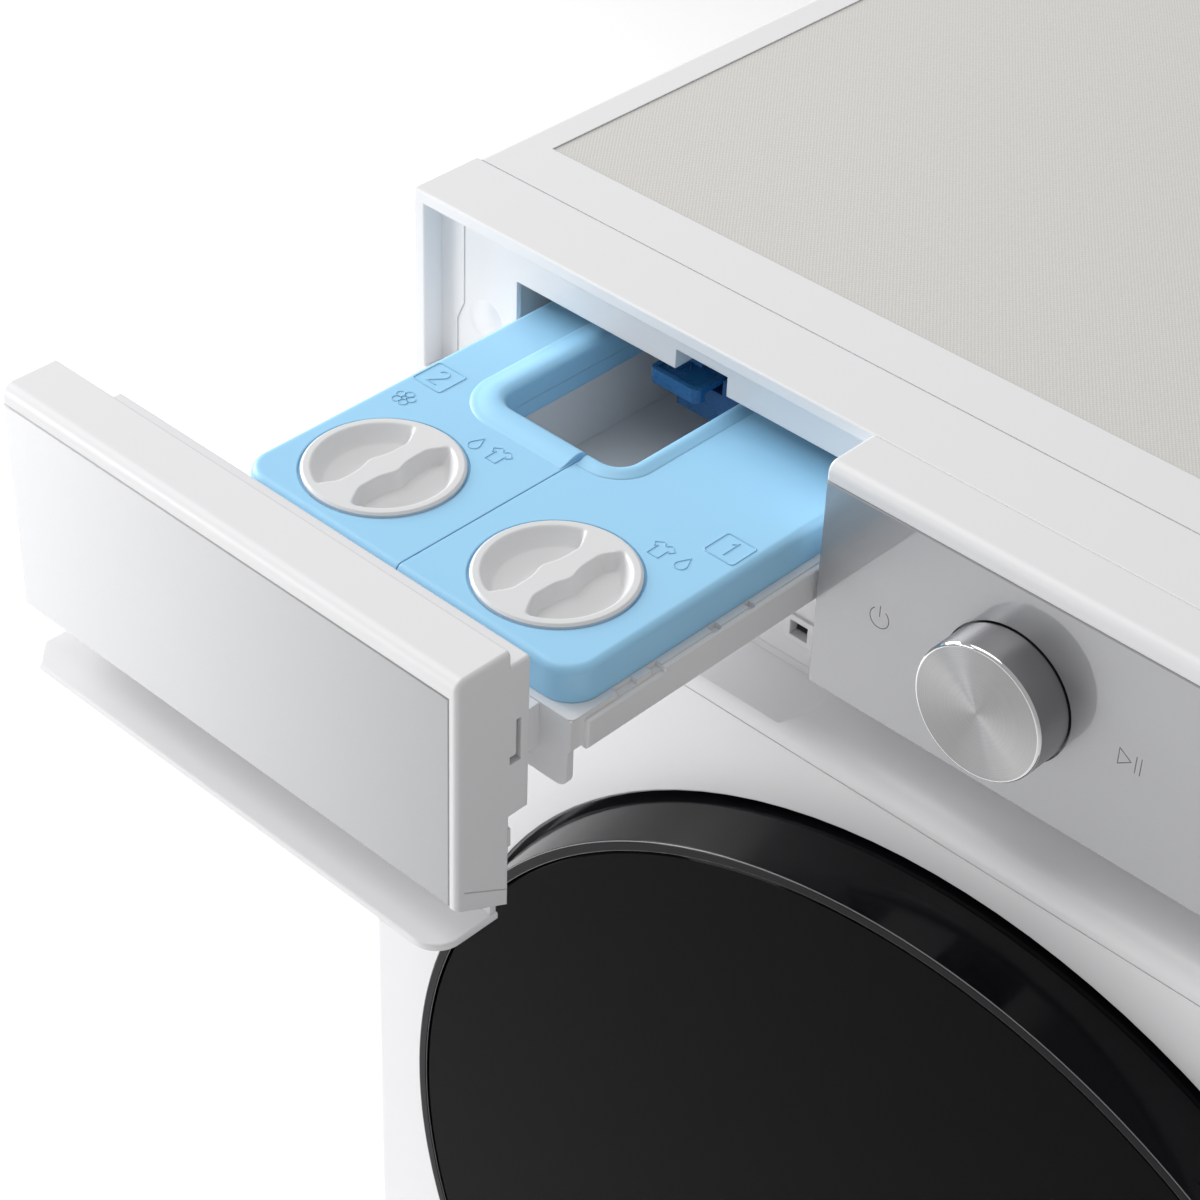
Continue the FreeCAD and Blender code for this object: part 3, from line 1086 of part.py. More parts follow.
# ================================================================ water path and connections
def inlet_valve():
    thread = tube_y(INLET_X, INLET_Z, INLET_THREAD_R, 9, PIPE_START_Y, INLET_END_Y)
    root = tube_y(INLET_X, INLET_Z, INLET_THREAD_R - 0.3, 9, 258, PIPE_START_Y)
    body = box(160, 204, 222, 262, 767, 797).cut(cyl_y(INLET_X, INLET_Z, 9, 250, 263))
    coils = [box(x - 8, x + 8, 226, 250, 797, 820) for x in (171, 193)]
    spigots = [tube_y(x, INLET_Z, 6, 4, 207, 222.5) for x in (171, 193)]
    return join([body, root, thread] + coils + spigots)


def inlet_hoses():
    ahead = (0, -1, 0)
    left_run = [(171, 206.5, 782), (60, 150, 790), (-90, 120, 798), (-130, 74.5, 800)]
    right_run = [(193, 206.5, 782), (60, 118, 768), (-120, 150, 776), (-180, 74.5, 800)]
    return Part.makeCompound([hose(run, ahead, ahead, 7.0, 5.0) for run in (left_run, right_run)])


def fill_bellows():
    return revolve_z([(18.5, 721.4), (18.5, 730), (24, 734), (19, 738), (24.5, 742), (20, 746), (23, 750),
                      (23, 764), (20.1, 764), (20.1, 751.2), (17.3, 746.6), (21.6, 742), (16.2, 738),
                      (21.2, 734), (16.1, 731.2), (16.1, 721.4)], FILL_X, FILL_Y)


def drain_pump():
    chamber = cyl_y(PUMP_X, PUMP_Z, 32, -279, -200).cut(cyl_y(PUMP_X, PUMP_Z, 27.5, -280, -204))
    motor = cyl_y(PUMP_X, PUMP_Z, 24, -200, -150)
    inlet = cyl_x(-225, PUMP_Z, 16, 170, 195).cut(cyl_y(PUMP_X, PUMP_Z, 27.5, -280, -204))
    outlet = cyl_z(PUMP_X, -215, 11, 95, 128).cut(cyl_y(PUMP_X, PUMP_Z, 27.5, -280, -204))
    pump = join([chamber, motor, inlet, outlet])
    return pump.cut(cyl_x(-225, PUMP_Z, 12, 165, 200)).cut(cyl_z(PUMP_X, -215, 8, 96, 130))


def pump_filter():
    # screw-in plug with a grip bar in front and a cage behind
    flange = cyl_y(PUMP_X, PUMP_Z, 31, -283, -280)
    grip = box(194, 246, -291, -283, 71, 79)
    body = tube_y(PUMP_X, PUMP_Z, 26.5, 23.5, -280, -246)
    cage = [box(218, 222, -246.5, -208, 75 + z - 1.5, 75 + z + 1.5) for z in (-24, 24)]
    cage += [box(220 + x - 1.5, 220 + x + 1.5, -246.5, -208, 73, 77) for x in (-24, 24)]
    end = tube_y(PUMP_X, PUMP_Z, 26, 20, -209, -206)
    return join([flange, grip, body, end] + cage)


def sump_hose():
    return hose([(100, -100, 175.5), (108, -165, 108), (169.5, -225, 75)], (0, 0, -1), (1, 0, 0), 19.0, 16.5)


def drain_hose():
    # from the pump up the right side to the spigot in the rear pocket
    run = hose([(220, -215, 128.5), (258, -130, 180), (266, 40, 200), (264, 200, 270), (256, 238, 480),
                (228, 240, 690), (DRAIN_X, 258, INLET_Z)], (0, 0, 1), (0, 1, 0), DRAIN_R, 8.0)
    root = tube_y(DRAIN_X, INLET_Z, DRAIN_R - 0.3, 8.0, 258.3, PIPE_START_Y)
    spigot = tube_y(DRAIN_X, INLET_Z, DRAIN_R, 8.0, PIPE_START_Y, DRAIN_END_Y)
    return Part.makeCompound([run, root.fuse(spigot)])


def pressure_sensor():
    body = cyl_z(-235, 190, 21, 760, 778)
    nozzle = cyl_z(-235, 190, 3, 748, 760)
    bracket = box(-298.7, -250, 182, 198, 766, 770)
    return join([body, nozzle, bracket])


def power_gland():
    # only the gland for the supply cord, which is left off
    nut = cyl_y(GLAND_X, GLAND_Z, 12, 300.1, REARMOST_Y)
    neck = cyl_y(GLAND_X, GLAND_Z, 8.8, 286, 300.1)
    return nut.fuse(neck).cut(cyl_y(GLAND_X, GLAND_Z, 4.2, 280, 303)).removeSplitter()


def rear_screws():
    screws = []
    for x, z in SCREW_SPOTS:
        head = cyl_y(x, z, 4.4, 300.05, REARMOST_Y)
        shank = cyl_y(x, z, 2.0, 291, 300.05)
        slot = box(x - 3, x + 3, 301.2, 303, z - 0.5, z + 0.5)
        screws.append(head.fuse(shank).cut(slot).removeSplitter())
    return Part.makeCompound(screws)


nodes["inlet_valve"] = inlet_valve()
nodes["inlet_hoses"] = inlet_hoses()
nodes["fill_bellows"] = fill_bellows()
nodes["drain_pump"] = drain_pump()
nodes["pump_filter"] = pump_filter()
nodes["sump_hose"] = sump_hose()
nodes["drain_hose"] = drain_hose()
nodes["pressure_sensor"] = pressure_sensor()
nodes["power_gland"] = power_gland()
nodes["rear_screws"] = rear_screws()


# ================================================================ export
def machine_shift():
    # half way between the drawer lip, pulled out, and the rear screw heads goes to Y = 0
    foremost = LIP_FRONT_Y - DRAWER_PULL
    return -(foremost + REARMOST_Y) / 2


os.makedirs("parts", exist_ok=True)
shift = vec(0, machine_shift(), 0)
print("nodes", len(nodes), "shift", round(shift.y, 3))
for name, shape in nodes.items():
    placed = shape.copy()
    placed.translate(shift)
    if not placed.isValid():
        print("not valid:", name)
    placed.exportStep("parts/" + name + ".step")
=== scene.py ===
import bpy
import bmesh
import json
import math
import numpy as np
from mathutils import Vector, Matrix


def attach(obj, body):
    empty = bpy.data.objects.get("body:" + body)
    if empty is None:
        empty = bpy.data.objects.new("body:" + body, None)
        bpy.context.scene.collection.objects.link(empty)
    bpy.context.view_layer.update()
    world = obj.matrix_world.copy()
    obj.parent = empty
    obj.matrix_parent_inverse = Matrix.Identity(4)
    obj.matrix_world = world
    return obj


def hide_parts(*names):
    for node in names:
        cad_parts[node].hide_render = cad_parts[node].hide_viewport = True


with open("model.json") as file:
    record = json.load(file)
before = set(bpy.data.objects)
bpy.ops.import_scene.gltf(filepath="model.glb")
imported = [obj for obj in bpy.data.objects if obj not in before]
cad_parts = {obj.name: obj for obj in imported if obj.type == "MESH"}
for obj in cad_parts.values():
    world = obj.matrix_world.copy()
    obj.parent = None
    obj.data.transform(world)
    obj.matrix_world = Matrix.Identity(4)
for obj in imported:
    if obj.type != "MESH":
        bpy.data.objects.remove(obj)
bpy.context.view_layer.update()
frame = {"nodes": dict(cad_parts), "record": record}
nodes = frame["nodes"]

# ---------------------------------------------------------------- places
# Drawing coordinates are millimetres with the cabinet centred on Y = 0;
# the row frame is in metres and stands Y_SHIFT further back.
Y_SHIFT = 81.5
PULL = 166.0
AXIS_Z = 465.0
KNOB_Z = 800.2
CAP_Y = -204.1
CAP_X = {1: -128.1, 2: -210.7}
TANK_TOP = 818.0


def at(x, y, z):
    return Vector((x / 1000, (y + Y_SHIFT) / 1000, z / 1000))


def drawn_out(x, y, z):
    # a point of the drawer given as if the drawer were closed
    return at(x, y - PULL, z)


# ---------------------------------------------------------------- camera
CAMERA_SPOT = at(400.5, -925.7, 1407.3)
CAMERA_AHEAD = Vector((-0.53219, 0.58087, -0.61592))
CAMERA_RIGHT = Vector((0.72090, 0.69239, 0.03010))
LENS = 89.02


def make_camera():
    data = bpy.data.cameras.new("camera")
    data.lens = LENS
    data.sensor_width = 36.0
    data.clip_start = 0.05
    data.clip_end = 100.0
    camera = bpy.data.objects.new("camera", data)
    bpy.context.scene.collection.objects.link(camera)
    ahead = CAMERA_AHEAD.normalized()
    up = CAMERA_RIGHT.cross(ahead).normalized()
    right = ahead.cross(up).normalized()
    turn = Matrix((right, up, -ahead)).transposed()
    camera.matrix_world = Matrix.Translation(CAMERA_SPOT) @ turn.to_4x4()
    bpy.context.scene.camera = camera


make_camera()


# ---------------------------------------------------------------- materials
class Shader:
    """A small helper that builds one node material."""

    def __init__(self, name):
        self.material = bpy.data.materials.new(name)
        self.material.use_nodes = True
        self.tree = self.material.node_tree
        self.tree.nodes.clear()
        self.out = self.add("ShaderNodeOutputMaterial")
        self.coords = self.add("ShaderNodeTexCoord").outputs["Object"]

    def add(self, kind, **settings):
        node = self.tree.nodes.new(kind)
        for key, value in settings.items():
            setattr(node, key, value)
        return node

    def link(self, source, target):
        self.tree.links.new(source, target)

    def noise(self, scale, detail=2.0, stretch=(1, 1, 1), roughness=0.5):
        mapping = self.add("ShaderNodeMapping")
        mapping.inputs["Scale"].default_value = stretch
        self.link(self.coords, mapping.inputs["Vector"])
        noise = self.add("ShaderNodeTexNoise")
        noise.inputs["Scale"].default_value = scale
        noise.inputs["Detail"].default_value = detail
        noise.inputs["Roughness"].default_value = roughness
        self.link(mapping.outputs["Vector"], noise.inputs["Vector"])
        return noise.outputs["Fac"]

    def ramp(self, value, low, high, low_out, high_out):
        node = self.add("ShaderNodeMapRange")
        node.inputs["From Min"].default_value = low
        node.inputs["From Max"].default_value = high
        node.inputs["To Min"].default_value = low_out
        node.inputs["To Max"].default_value = high_out
        self.link(value, node.inputs["Value"])
        return node.outputs["Result"]

    def mix(self, factor, first, second):
        node = self.add("ShaderNodeMix", data_type="RGBA")
        self.link(factor, node.inputs["Factor"])
        for socket, value in ((node.inputs[6], first), (node.inputs[7], second)):
            if isinstance(value, tuple):
                socket.default_value = (*value, 1.0)
            else:
                self.link(value, socket)
        return node.outputs[2]

    def bump(self, height, strength, distance, after=None):
        node = self.add("ShaderNodeBump")
        node.inputs["Strength"].default_value = strength
        node.inputs["Distance"].default_value = distance
        self.link(height, node.inputs["Height"])
        if after is not None:
            self.link(after, node.inputs["Normal"])
        return node.outputs["Normal"]

    def soft_edges(self, radius):
        node = self.add("ShaderNodeBevel")
        node.samples = 4
        node.inputs["Radius"].default_value = radius
        return node.outputs["Normal"]

    def principled(self, **values):
        node = self.add("ShaderNodeBsdfPrincipled")
        for key, value in values.items():
            node.inputs[key.replace("_", " ")].default_value = value
        self.link(node.outputs["BSDF"], self.out.inputs["Surface"])
        return node


def moulded(name, colour, shade, rough, grain, depth, edge=0.0, metallic=0.0, coat=0.0, spec=0.5):
    """Plain moulded or painted surface: faint tone drift, uneven gloss and a fine skin texture."""
    s = Shader(name)
    node = s.principled(Metallic=metallic, Coat_Weight=coat, Specular_IOR_Level=spec)
    node.inputs["Coat Roughness"].default_value = 0.08
    drift = s.noise(3.0, 1.0)
    s.link(s.mix(s.ramp(drift, 0.3, 0.7, 0.0, 1.0), colour, shade), node.inputs["Base Color"])
    smear = s.noise(260.0, 3.0, roughness=0.6)
    s.link(s.ramp(smear, 0.3, 0.7, rough * 0.93, rough * 1.07), node.inputs["Roughness"])
    skin = s.noise(grain, 2.0)
    base = s.soft_edges(edge) if edge > 0 else None
    s.link(s.bump(skin, 0.25, depth, base), node.inputs["Normal"])
    return s.material


def woven_board():
    # laminate with a fine diagonal weave of warm and cool threads
    s = Shader("top_laminate")
    node = s.principled(Specular_IOR_Level=0.35)
    heights = []
    for angle in (38.0, -38.0):
        turn = s.add("ShaderNodeMapping")
        turn.inputs["Rotation"].default_value = (0, 0, math.radians(angle))
        s.link(s.coords, turn.inputs["Vector"])
        wave = s.add("ShaderNodeTexWave")
        wave.inputs["Scale"].default_value = 260.0
        wave.inputs["Distortion"].default_value = 1.2
        wave.inputs["Detail"].default_value = 2.0
        wave.inputs["Detail Scale"].default_value = 1.5
        s.link(turn.outputs["Vector"], wave.inputs["Vector"])
        heights.append(wave.outputs["Fac"])
    weave = s.add("ShaderNodeMath", operation="MULTIPLY")
    s.link(heights[0], weave.inputs[0])
    s.link(heights[1], weave.inputs[1])
    fleck = s.noise(900.0, 2.0, stretch=(1.0, 0.35, 1.0))
    threads = s.ramp(weave.outputs[0], 0.0, 0.8, 0.0, 1.0)
    tone = s.mix(threads, (0.660, 0.648, 0.615), (0.775, 0.762, 0.722))
    tone = s.mix(s.ramp(fleck, 0.35, 0.7, 0.0, 0.35), tone, (0.60, 0.605, 0.60))
    s.link(tone, node.inputs["Base Color"])
    s.link(s.ramp(fleck, 0.3, 0.7, 0.42, 0.60), node.inputs["Roughness"])
    s.link(s.bump(weave.outputs[0], 0.35, 0.00012), node.inputs["Normal"])
    return s.material


def silver_glass(name, low_x, high_x, left_tone, right_tone):
    # clear glass printed silver grey on its back: soft sheen below, sharp coat above
    s = Shader(name)
    node = s.principled(Metallic=0.55, Coat_Weight=1.0, Specular_IOR_Level=0.5)
    node.inputs["Coat Roughness"].default_value = 0.03
    node.inputs["Coat IOR"].default_value = 1.9
    split = s.add("ShaderNodeSeparateXYZ")
    s.link(s.coords, split.inputs["Vector"])
    # painted light: the printed tone ramps along X from left_tone to right_tone, standing in for the way
    # light falls across the glass
    painted_light_across = s.ramp(split.outputs["X"], low_x / 1000, high_x / 1000, 0.0, 1.0)
    tone = s.mix(painted_light_across, left_tone, right_tone)
    grain = s.noise(2600.0, 2.0)
    tone = s.mix(s.ramp(grain, 0.35, 0.65, 0.0, 0.06), tone, (0.30, 0.30, 0.31))
    s.link(tone, node.inputs["Base Color"])
    s.link(s.ramp(grain, 0.3, 0.7, 0.36, 0.44), node.inputs["Roughness"])
    ripple = s.noise(9.0, 1.0)
    s.link(s.bump(ripple, 0.05, 0.0004), node.inputs["Coat Normal"])
    return s.material


def spun_metal(name, centre, fine, colour, rough, stretch):
    # turned metal: fine circular grooves about the knob's axis, radial glints
    s = Shader(name)
    node = s.principled(Metallic=1.0, Anisotropic=stretch, Anisotropic_Rotation=0.25)
    tangent = s.add("ShaderNodeTangent", direction_type="RADIAL", axis="Y")
    s.link(tangent.outputs["Tangent"], node.inputs["Tangent"])
    shift = s.add("ShaderNodeVectorMath", operation="SUBTRACT")
    shift.inputs[1].default_value = centre
    s.link(s.coords, shift.inputs[0])
    flat = s.add("ShaderNodeVectorMath", operation="MULTIPLY")
    flat.inputs[1].default_value = (1, 0, 1)
    s.link(shift.outputs["Vector"], flat.inputs[0])
    radius = s.add("ShaderNodeVectorMath", operation="LENGTH")
    s.link(flat.outputs["Vector"], radius.inputs[0])
    line = s.add("ShaderNodeCombineXYZ")
    s.link(radius.outputs["Value"], line.inputs["X"])
    groove = s.add("ShaderNodeTexNoise")
    groove.inputs["Scale"].default_value = fine
    groove.inputs["Detail"].default_value = 4.0
    s.link(line.outputs["Vector"], groove.inputs["Vector"])
    s.link(s.mix(s.ramp(groove.outputs["Fac"], 0.3, 0.7, 0.0, 1.0), colour,
                 tuple(c * 0.86 for c in colour)), node.inputs["Base Color"])
    s.link(s.ramp(groove.outputs["Fac"], 0.3, 0.7, rough * 0.8, rough * 1.2), node.inputs["Roughness"])
    s.link(s.bump(groove.outputs["Fac"], 0.35, 0.00004), node.inputs["Normal"])
    return s.material


def brushed(name, colour, rough, stretch, scale):
    s = Shader(name)
    node = s.principled(Metallic=1.0)
    streak = s.noise(scale, 3.0, stretch=stretch)
    s.link(s.mix(streak, colour, tuple(c * 0.82 for c in colour)), node.inputs["Base Color"])
    s.link(s.ramp(streak, 0.3, 0.7, rough * 0.8, rough * 1.25), node.inputs["Roughness"])
    s.link(s.bump(streak, 0.15, 0.0001), node.inputs["Normal"])
    return s.material


def smoked_glass():
    # dark tinted glass: a Fresnel reflection over a dim view through
    s = Shader("smoked_glass")
    through = s.add("ShaderNodeBsdfTransparent")
    smoke = s.noise(3.0, 2.0)
    s.link(s.mix(smoke, (0.050, 0.050, 0.054), (0.060, 0.060, 0.062)), through.inputs["Color"])
    haze = s.add("ShaderNodeBsdfPrincipled")
    haze.inputs["Base Color"].default_value = (0.003, 0.003, 0.0035, 1)
    haze.inputs["Specular IOR Level"].default_value = 0.10
    dust = s.noise(320.0, 3.0)
    s.link(s.ramp(dust, 0.3, 0.7, 0.045, 0.075), haze.inputs["Roughness"])
    s.link(s.bump(s.noise(6.0, 1.0), 0.03, 0.0005), haze.inputs["Normal"])
    blend = s.add("ShaderNodeMixShader")
    blend.inputs["Fac"].default_value = 0.45
    s.link(through.outputs["BSDF"], blend.inputs[1])
    s.link(haze.outputs["BSDF"], blend.inputs[2])
    s.link(blend.outputs["Shader"], s.out.inputs["Surface"])
    return s.material


def clear_glass():
    s = Shader("clear_glass")
    node = s.principled(IOR=1.5, Transmission_Weight=1.0)
    s.link(s.mix(s.noise(4.0, 1.0), (0.90, 0.95, 0.94), (0.94, 0.97, 0.97)), node.inputs["Base Color"])
    s.link(s.ramp(s.noise(120.0, 2.0), 0.3, 0.7, 0.01, 0.04), node.inputs["Roughness"])
    s.link(s.bump(s.noise(18.0, 1.0), 0.04, 0.0004), node.inputs["Normal"])
    return s.material


WHITE = (0.855, 0.855, 0.865)
WHITE_SHADE = (0.848, 0.848, 0.859)
looks = {
    "white_plastic": moulded("white_plastic", WHITE, WHITE_SHADE, 0.30, 1500.0, 0.00003, 0.0006, spec=0.45),
    "white_enamel": moulded("white_enamel", WHITE, WHITE_SHADE, 0.30, 1300.0, 0.000012, 0.0006, spec=0.5),
    "white_satin": moulded("white_satin", (0.82, 0.82, 0.825), (0.79, 0.79, 0.80), 0.42, 1100.0,
                           0.00005, 0.0005),
    "tank_blue": moulded("tank_blue", (0.375, 0.715, 0.985), (0.365, 0.705, 0.980), 0.40, 1400.0, 0.00003,
                         0.0008),
    "cap_plastic": moulded("cap_plastic", (0.80, 0.80, 0.805), (0.79, 0.79, 0.795), 0.38, 1500.0, 0.00004,
                           0.0004),
    "lever_blue": moulded("lever_blue", (0.025, 0.155, 0.375), (0.020, 0.130, 0.330), 0.28, 1200.0, 0.00003,
                          0.0004),
    "door_black": moulded("door_black", (0.003, 0.003, 0.004), (0.004, 0.004, 0.005), 0.10, 900.0, 0.000006,
                          0.0005, spec=0.14),
    "dark_plastic": moulded("dark_plastic", (0.022, 0.022, 0.024), (0.030, 0.030, 0.032), 0.45, 1200.0,
                            0.00006, 0.0004),
    "tub_plastic": moulded("tub_plastic", (0.34, 0.355, 0.365), (0.30, 0.315, 0.325), 0.55, 600.0, 0.0001),
    "grey_rubber": moulded("grey_rubber", (0.10, 0.105, 0.11), (0.13, 0.135, 0.14), 0.60, 900.0, 0.0001),
    "black_rubber": moulded("black_rubber", (0.016, 0.016, 0.016), (0.025, 0.025, 0.025), 0.62, 800.0,
                            0.0001),
    "concrete": moulded("concrete", (0.26, 0.25, 0.235), (0.34, 0.33, 0.31), 0.85, 160.0, 0.0008),
    "zinc_steel": moulded("zinc_steel", (0.42, 0.43, 0.44), (0.36, 0.37, 0.385), 0.38, 240.0, 0.00005,
                          metallic=0.9),
    "cast_aluminium": moulded("cast_aluminium", (0.50, 0.50, 0.50), (0.42, 0.42, 0.42), 0.48, 500.0,
                              0.00015, metallic=1.0),
    "copper_steel": moulded("copper_steel", (0.42, 0.20, 0.10), (0.30, 0.15, 0.09), 0.40, 300.0, 0.0002,
                            metallic=0.8),
    "board_green": moulded("board_green", (0.015, 0.085, 0.035), (0.020, 0.110, 0.045), 0.40, 900.0,
                           0.00005),
    "steel": brushed("steel", (0.62, 0.62, 0.61), 0.24, (1, 40, 1), 60.0),
    "top_laminate": woven_board(),
    # the drawer's glass: painted light, much lighter at its left end than at its right
    "glass_left": silver_glass("glass_left", -300, -85, (0.68, 0.685, 0.700), (0.33, 0.335, 0.345)),
    "glass_right": silver_glass("glass_right", -80, 300, (0.385, 0.388, 0.402), (0.40, 0.404, 0.420)),
    "smoked_glass": smoked_glass(),
    "clear_glass": clear_glass(),
}
# the knob's metals: name, groove fineness, colour, roughness, stretch of the glints
knob_centre = at(0, -300, KNOB_Z)
for name, fine, colour, rough, stretch in (
        ("knob_face_metal", 2600.0, (0.52, 0.52, 0.525), 0.42, 0.95),
        ("knob_side_metal", 900.0, (0.43, 0.43, 0.44), 0.26, 0.9),
        ("knob_polish", 500.0, (0.82, 0.82, 0.82), 0.07, 0.2)):
    looks[name] = spun_metal(name, knob_centre, fine, colour, rough, stretch)
# painted highlight: the grey of the glint lines on the door's black rim
looks["rim_highlight_paint"] = moulded("rim_highlight_paint", (0.16, 0.16, 0.165), (0.19, 0.19, 0.195), 0.30, 700.0, 0.00001)
looks["icon_grey"] = moulded("icon_grey", (0.135, 0.137, 0.142), (0.145, 0.147, 0.152), 0.5, 900.0,
                             0.00001)

# record slot -> look used for it
# any other slot uses the look of its own name
slot_looks = {
    "white_plastic_satin": "white_satin",
    "panel_glass": "glass_right",
    "knob_metal": "knob_side_metal",
}
node_slots = {row["node"]: row["material_slot"] for row in frame["record"]["subparts"]}


def look_for(node):
    slot_name = node_slots[node]
    return looks[slot_looks.get(slot_name, slot_name)]


node_looks = {"drawer_glass": "glass_left"}

for name, item in nodes.items():
    item.data.materials.clear()
    item.data.materials.append(looks[node_looks[name]] if name in node_looks else look_for(name))


# ---------------------------------------------------------------- mesh helpers
def new_piece(name, points, faces, look, body, crease=35.0):
    mesh = bpy.data.meshes.new(name)
    mesh.from_pydata([tuple(p) for p in points], [], faces)
    mesh.validate()
    shape = bmesh.new()
    shape.from_mesh(mesh)
    bmesh.ops.recalc_face_normals(shape, faces=shape.faces)
    shape.to_mesh(mesh)
    shape.free()
    mesh.materials.append(looks[look])
    mesh.polygons.foreach_set("use_smooth", [True] * len(mesh.polygons))
    mesh.set_sharp_from_angle(angle=math.radians(crease))
    piece = bpy.data.objects.new(name, mesh)
    bpy.context.scene.collection.objects.link(piece)
    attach(piece, body)
    return piece


def sweep(rings, closed):
    # joins equal rings of points into a skin; open sweeps get end faces
    points = [p for ring in rings for p in ring]
    size = len(rings[0])
    faces = []
    count = len(rings) if closed else len(rings) - 1
    for i in range(count):
        here = i * size
        after = ((i + 1) % len(rings)) * size
        for j in range(size):
            k = (j + 1) % size
            faces.append((here + j, here + k, after + k, after + j))
    if not closed:
        faces.append(tuple(range(size)))
        faces.append(tuple(range(len(points) - size, len(points))))
    return points, faces


def lathe_y(name, profile, look, body, segments=180, crease=30.0):
    # solid of revolution about the knob's axis; profile is (radius, y)
    rings = []
    for i in range(segments):
        turn = 2 * math.pi * i / segments
        rings.append([at(r * math.cos(turn), y, KNOB_Z + r * math.sin(turn)) for r, y in profile])
    points, faces = sweep(rings, True)
    return new_piece(name, points, faces, look, body, crease)


def offset_line(line, closed):
    # normals on the right-hand side of a flat polyline, lengthened at its corners
    normals = []
    count = len(line)
    for i in range(count):
        before = line[i - 1] if (i > 0 or closed) else None
        after = line[(i + 1) % count] if (i < count - 1 or closed) else None
        ways = []
        if before is not None:
            ways.append((Vector(line[i]) - Vector(before)).normalized())
        if after is not None:
            ways.append((Vector(after) - Vector(line[i])).normalized())
        way = sum(ways, Vector((0, 0))).normalized()
        stretch = 1.0 / max(0.5, way.dot(ways[0]))
        normals.append(Vector((way.y, -way.x)) * stretch)
    return normals


def ribbon(line, closed, width, height, place):
    # low raised line with sloping sides; place(u, v, h) gives the point in space
    half = width / 2
    section = [(-half, -0.05), (-half * 0.55, height), (half * 0.55, height), (half, -0.05)]
    normals = offset_line(line, closed)
    rings = []
    for (u, v), normal in zip(line, normals):
        rings.append([place(u + normal.x * d, v + normal.y * d, h) for d, h in section])
    return sweep(rings, closed)


def arc(cx, cy, radius, start, end, steps):
    out = []
    for i in range(steps + 1):
        turn = math.radians(start + (end - start) * i / steps)
        out.append((cx + radius * math.cos(turn), cy + radius * math.sin(turn)))
    return out


def line_art(name, lines, width, height, place, look, body):
    # several ribbons in one piece; each line is (points, closed)
    points = []
    faces = []
    for line, closed in lines:
        more, skin = ribbon(line, closed, width, height, place)
        faces += [tuple(index + len(points) for index in face) for face in skin]
        points += more
    return new_piece(name, points, faces, look, body)


def square(cx, cy, half, round_by):
    inner = half - round_by
    out = []
    for sx, sy, start in ((1, 1, 0), (-1, 1, 90), (-1, -1, 180), (1, -1, 270)):
        out += arc(cx + sx * inner, cy + sy * inner, round_by, start, start + 90, 4)
    return out


# ---------------------------------------------------------------- knob
KNOB_R = 25.2
KNOB_FACE_R = 24.1
KNOB_WALL_R = 24.0
KNOB_FACE_Y = -309.5
KNOB_BACK_Y = -294.0
SKIRT_R = 24.5
SKIRT_HOLE_R = 3.2
SKIRT_BACK_Y = -291.5
STEM_R = 3.0
STEM_Y = (-296.0, -281.7)
LATHE_AXIS_R = 0.02


def behind_face(profile):
    # turns (radius, depth behind the knob's face) into (radius, y)
    return [(r, KNOB_FACE_Y + depth) for r, depth in profile]


def make_knob():
    dish = behind_face([(LATHE_AXIS_R, 0.30), (8, 0.26), (16, 0.16), (22, 0.04), (KNOB_FACE_R, 0.02),
                        (KNOB_FACE_R, 0.6), (LATHE_AXIS_R, 0.8)])
    face = lathe_y("knob_face", dish, "knob_face_metal", "knob")
    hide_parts("knob")
    edge = behind_face([(KNOB_FACE_R, 0.02), (24.45, 0.0), (25.0, 0.55), (KNOB_R, 1.0), (24.6, 1.4),
                        (KNOB_FACE_R, 0.8)])
    lathe_y("knob_bright_edge", edge, "knob_polish", "knob", crease=50.0)
    side = [(KNOB_R, KNOB_FACE_Y + 1.0), (KNOB_R, KNOB_BACK_Y - 0.4), (24.7, KNOB_BACK_Y),
            (KNOB_WALL_R, KNOB_BACK_Y), (KNOB_WALL_R, KNOB_FACE_Y + 1.2)]
    lathe_y("knob_side", side, "knob_side_metal", "knob")
    skirt = [(KNOB_WALL_R, -294.6), (SKIRT_R, -294.2), (SKIRT_R, SKIRT_BACK_Y), (SKIRT_HOLE_R, SKIRT_BACK_Y),
             (SKIRT_HOLE_R, -293.4), (KNOB_WALL_R, -293.4)]
    lathe_y("knob_skirt", skirt, "dark_plastic", "knob")
    stem = [(STEM_R, STEM_Y[0]), (STEM_R, STEM_Y[1]), (LATHE_AXIS_R, STEM_Y[1]), (LATHE_AXIS_R, STEM_Y[0])]
    lathe_y("knob_stem", stem, "steel", "knob", segments=32)


make_knob()


# ---------------------------------------------------------------- tank caps
CAP_R = 28.5
CAP_TOP_Z = 819.2
CAP_FLANGE_Z = 817.0
CAP_FOOT_Z = 808.2
CAP_NECK_R = 25.0
CAP_PIT_R = 25.4
CAP_PIT_WALL = 4.6
CAP_PIT_DEPTH = 6.3
CAP_CROWN = 0.75
CAP_RING_STEP = 0.38
CAP_TURNS = 240
GRIP_HALF_WIDTH = 3.9
GRIP_WALL = 2.4


def soft_step(value):
    t = min(1.0, max(0.0, value))
    return t * t * (3 - 2 * t)


def grip_edge(v):
    # right edge of the grip bar at the distance v along it: a bulge at the middle, flared ends
    middle = 1.9 * math.exp(-((v - 1.0) / 4.5) ** 2)
    far_end = 3.4 * soft_step((v - 15.5) / 8.0)
    near_end = 5.0 * soft_step((-v - 13.0) / 12.0)
    return GRIP_HALF_WIDTH + middle + far_end + near_end


def cap_height(u, v):
    # height of the cap's upper face: a pit on each side of the grip bar, and a rounded rim
    radius = math.hypot(u, v)
    ring_wall = soft_step((CAP_PIT_R - radius) / CAP_PIT_WALL)
    beside = max(u - grip_edge(v), -u - grip_edge(-v))
    grip_wall = soft_step((beside + 0.3) / GRIP_WALL)
    crown = CAP_CROWN * soft_step((radius - (CAP_R - 1.0)) / 1.0)
    return CAP_TOP_Z - crown - CAP_PIT_DEPTH * ring_wall * grip_wall


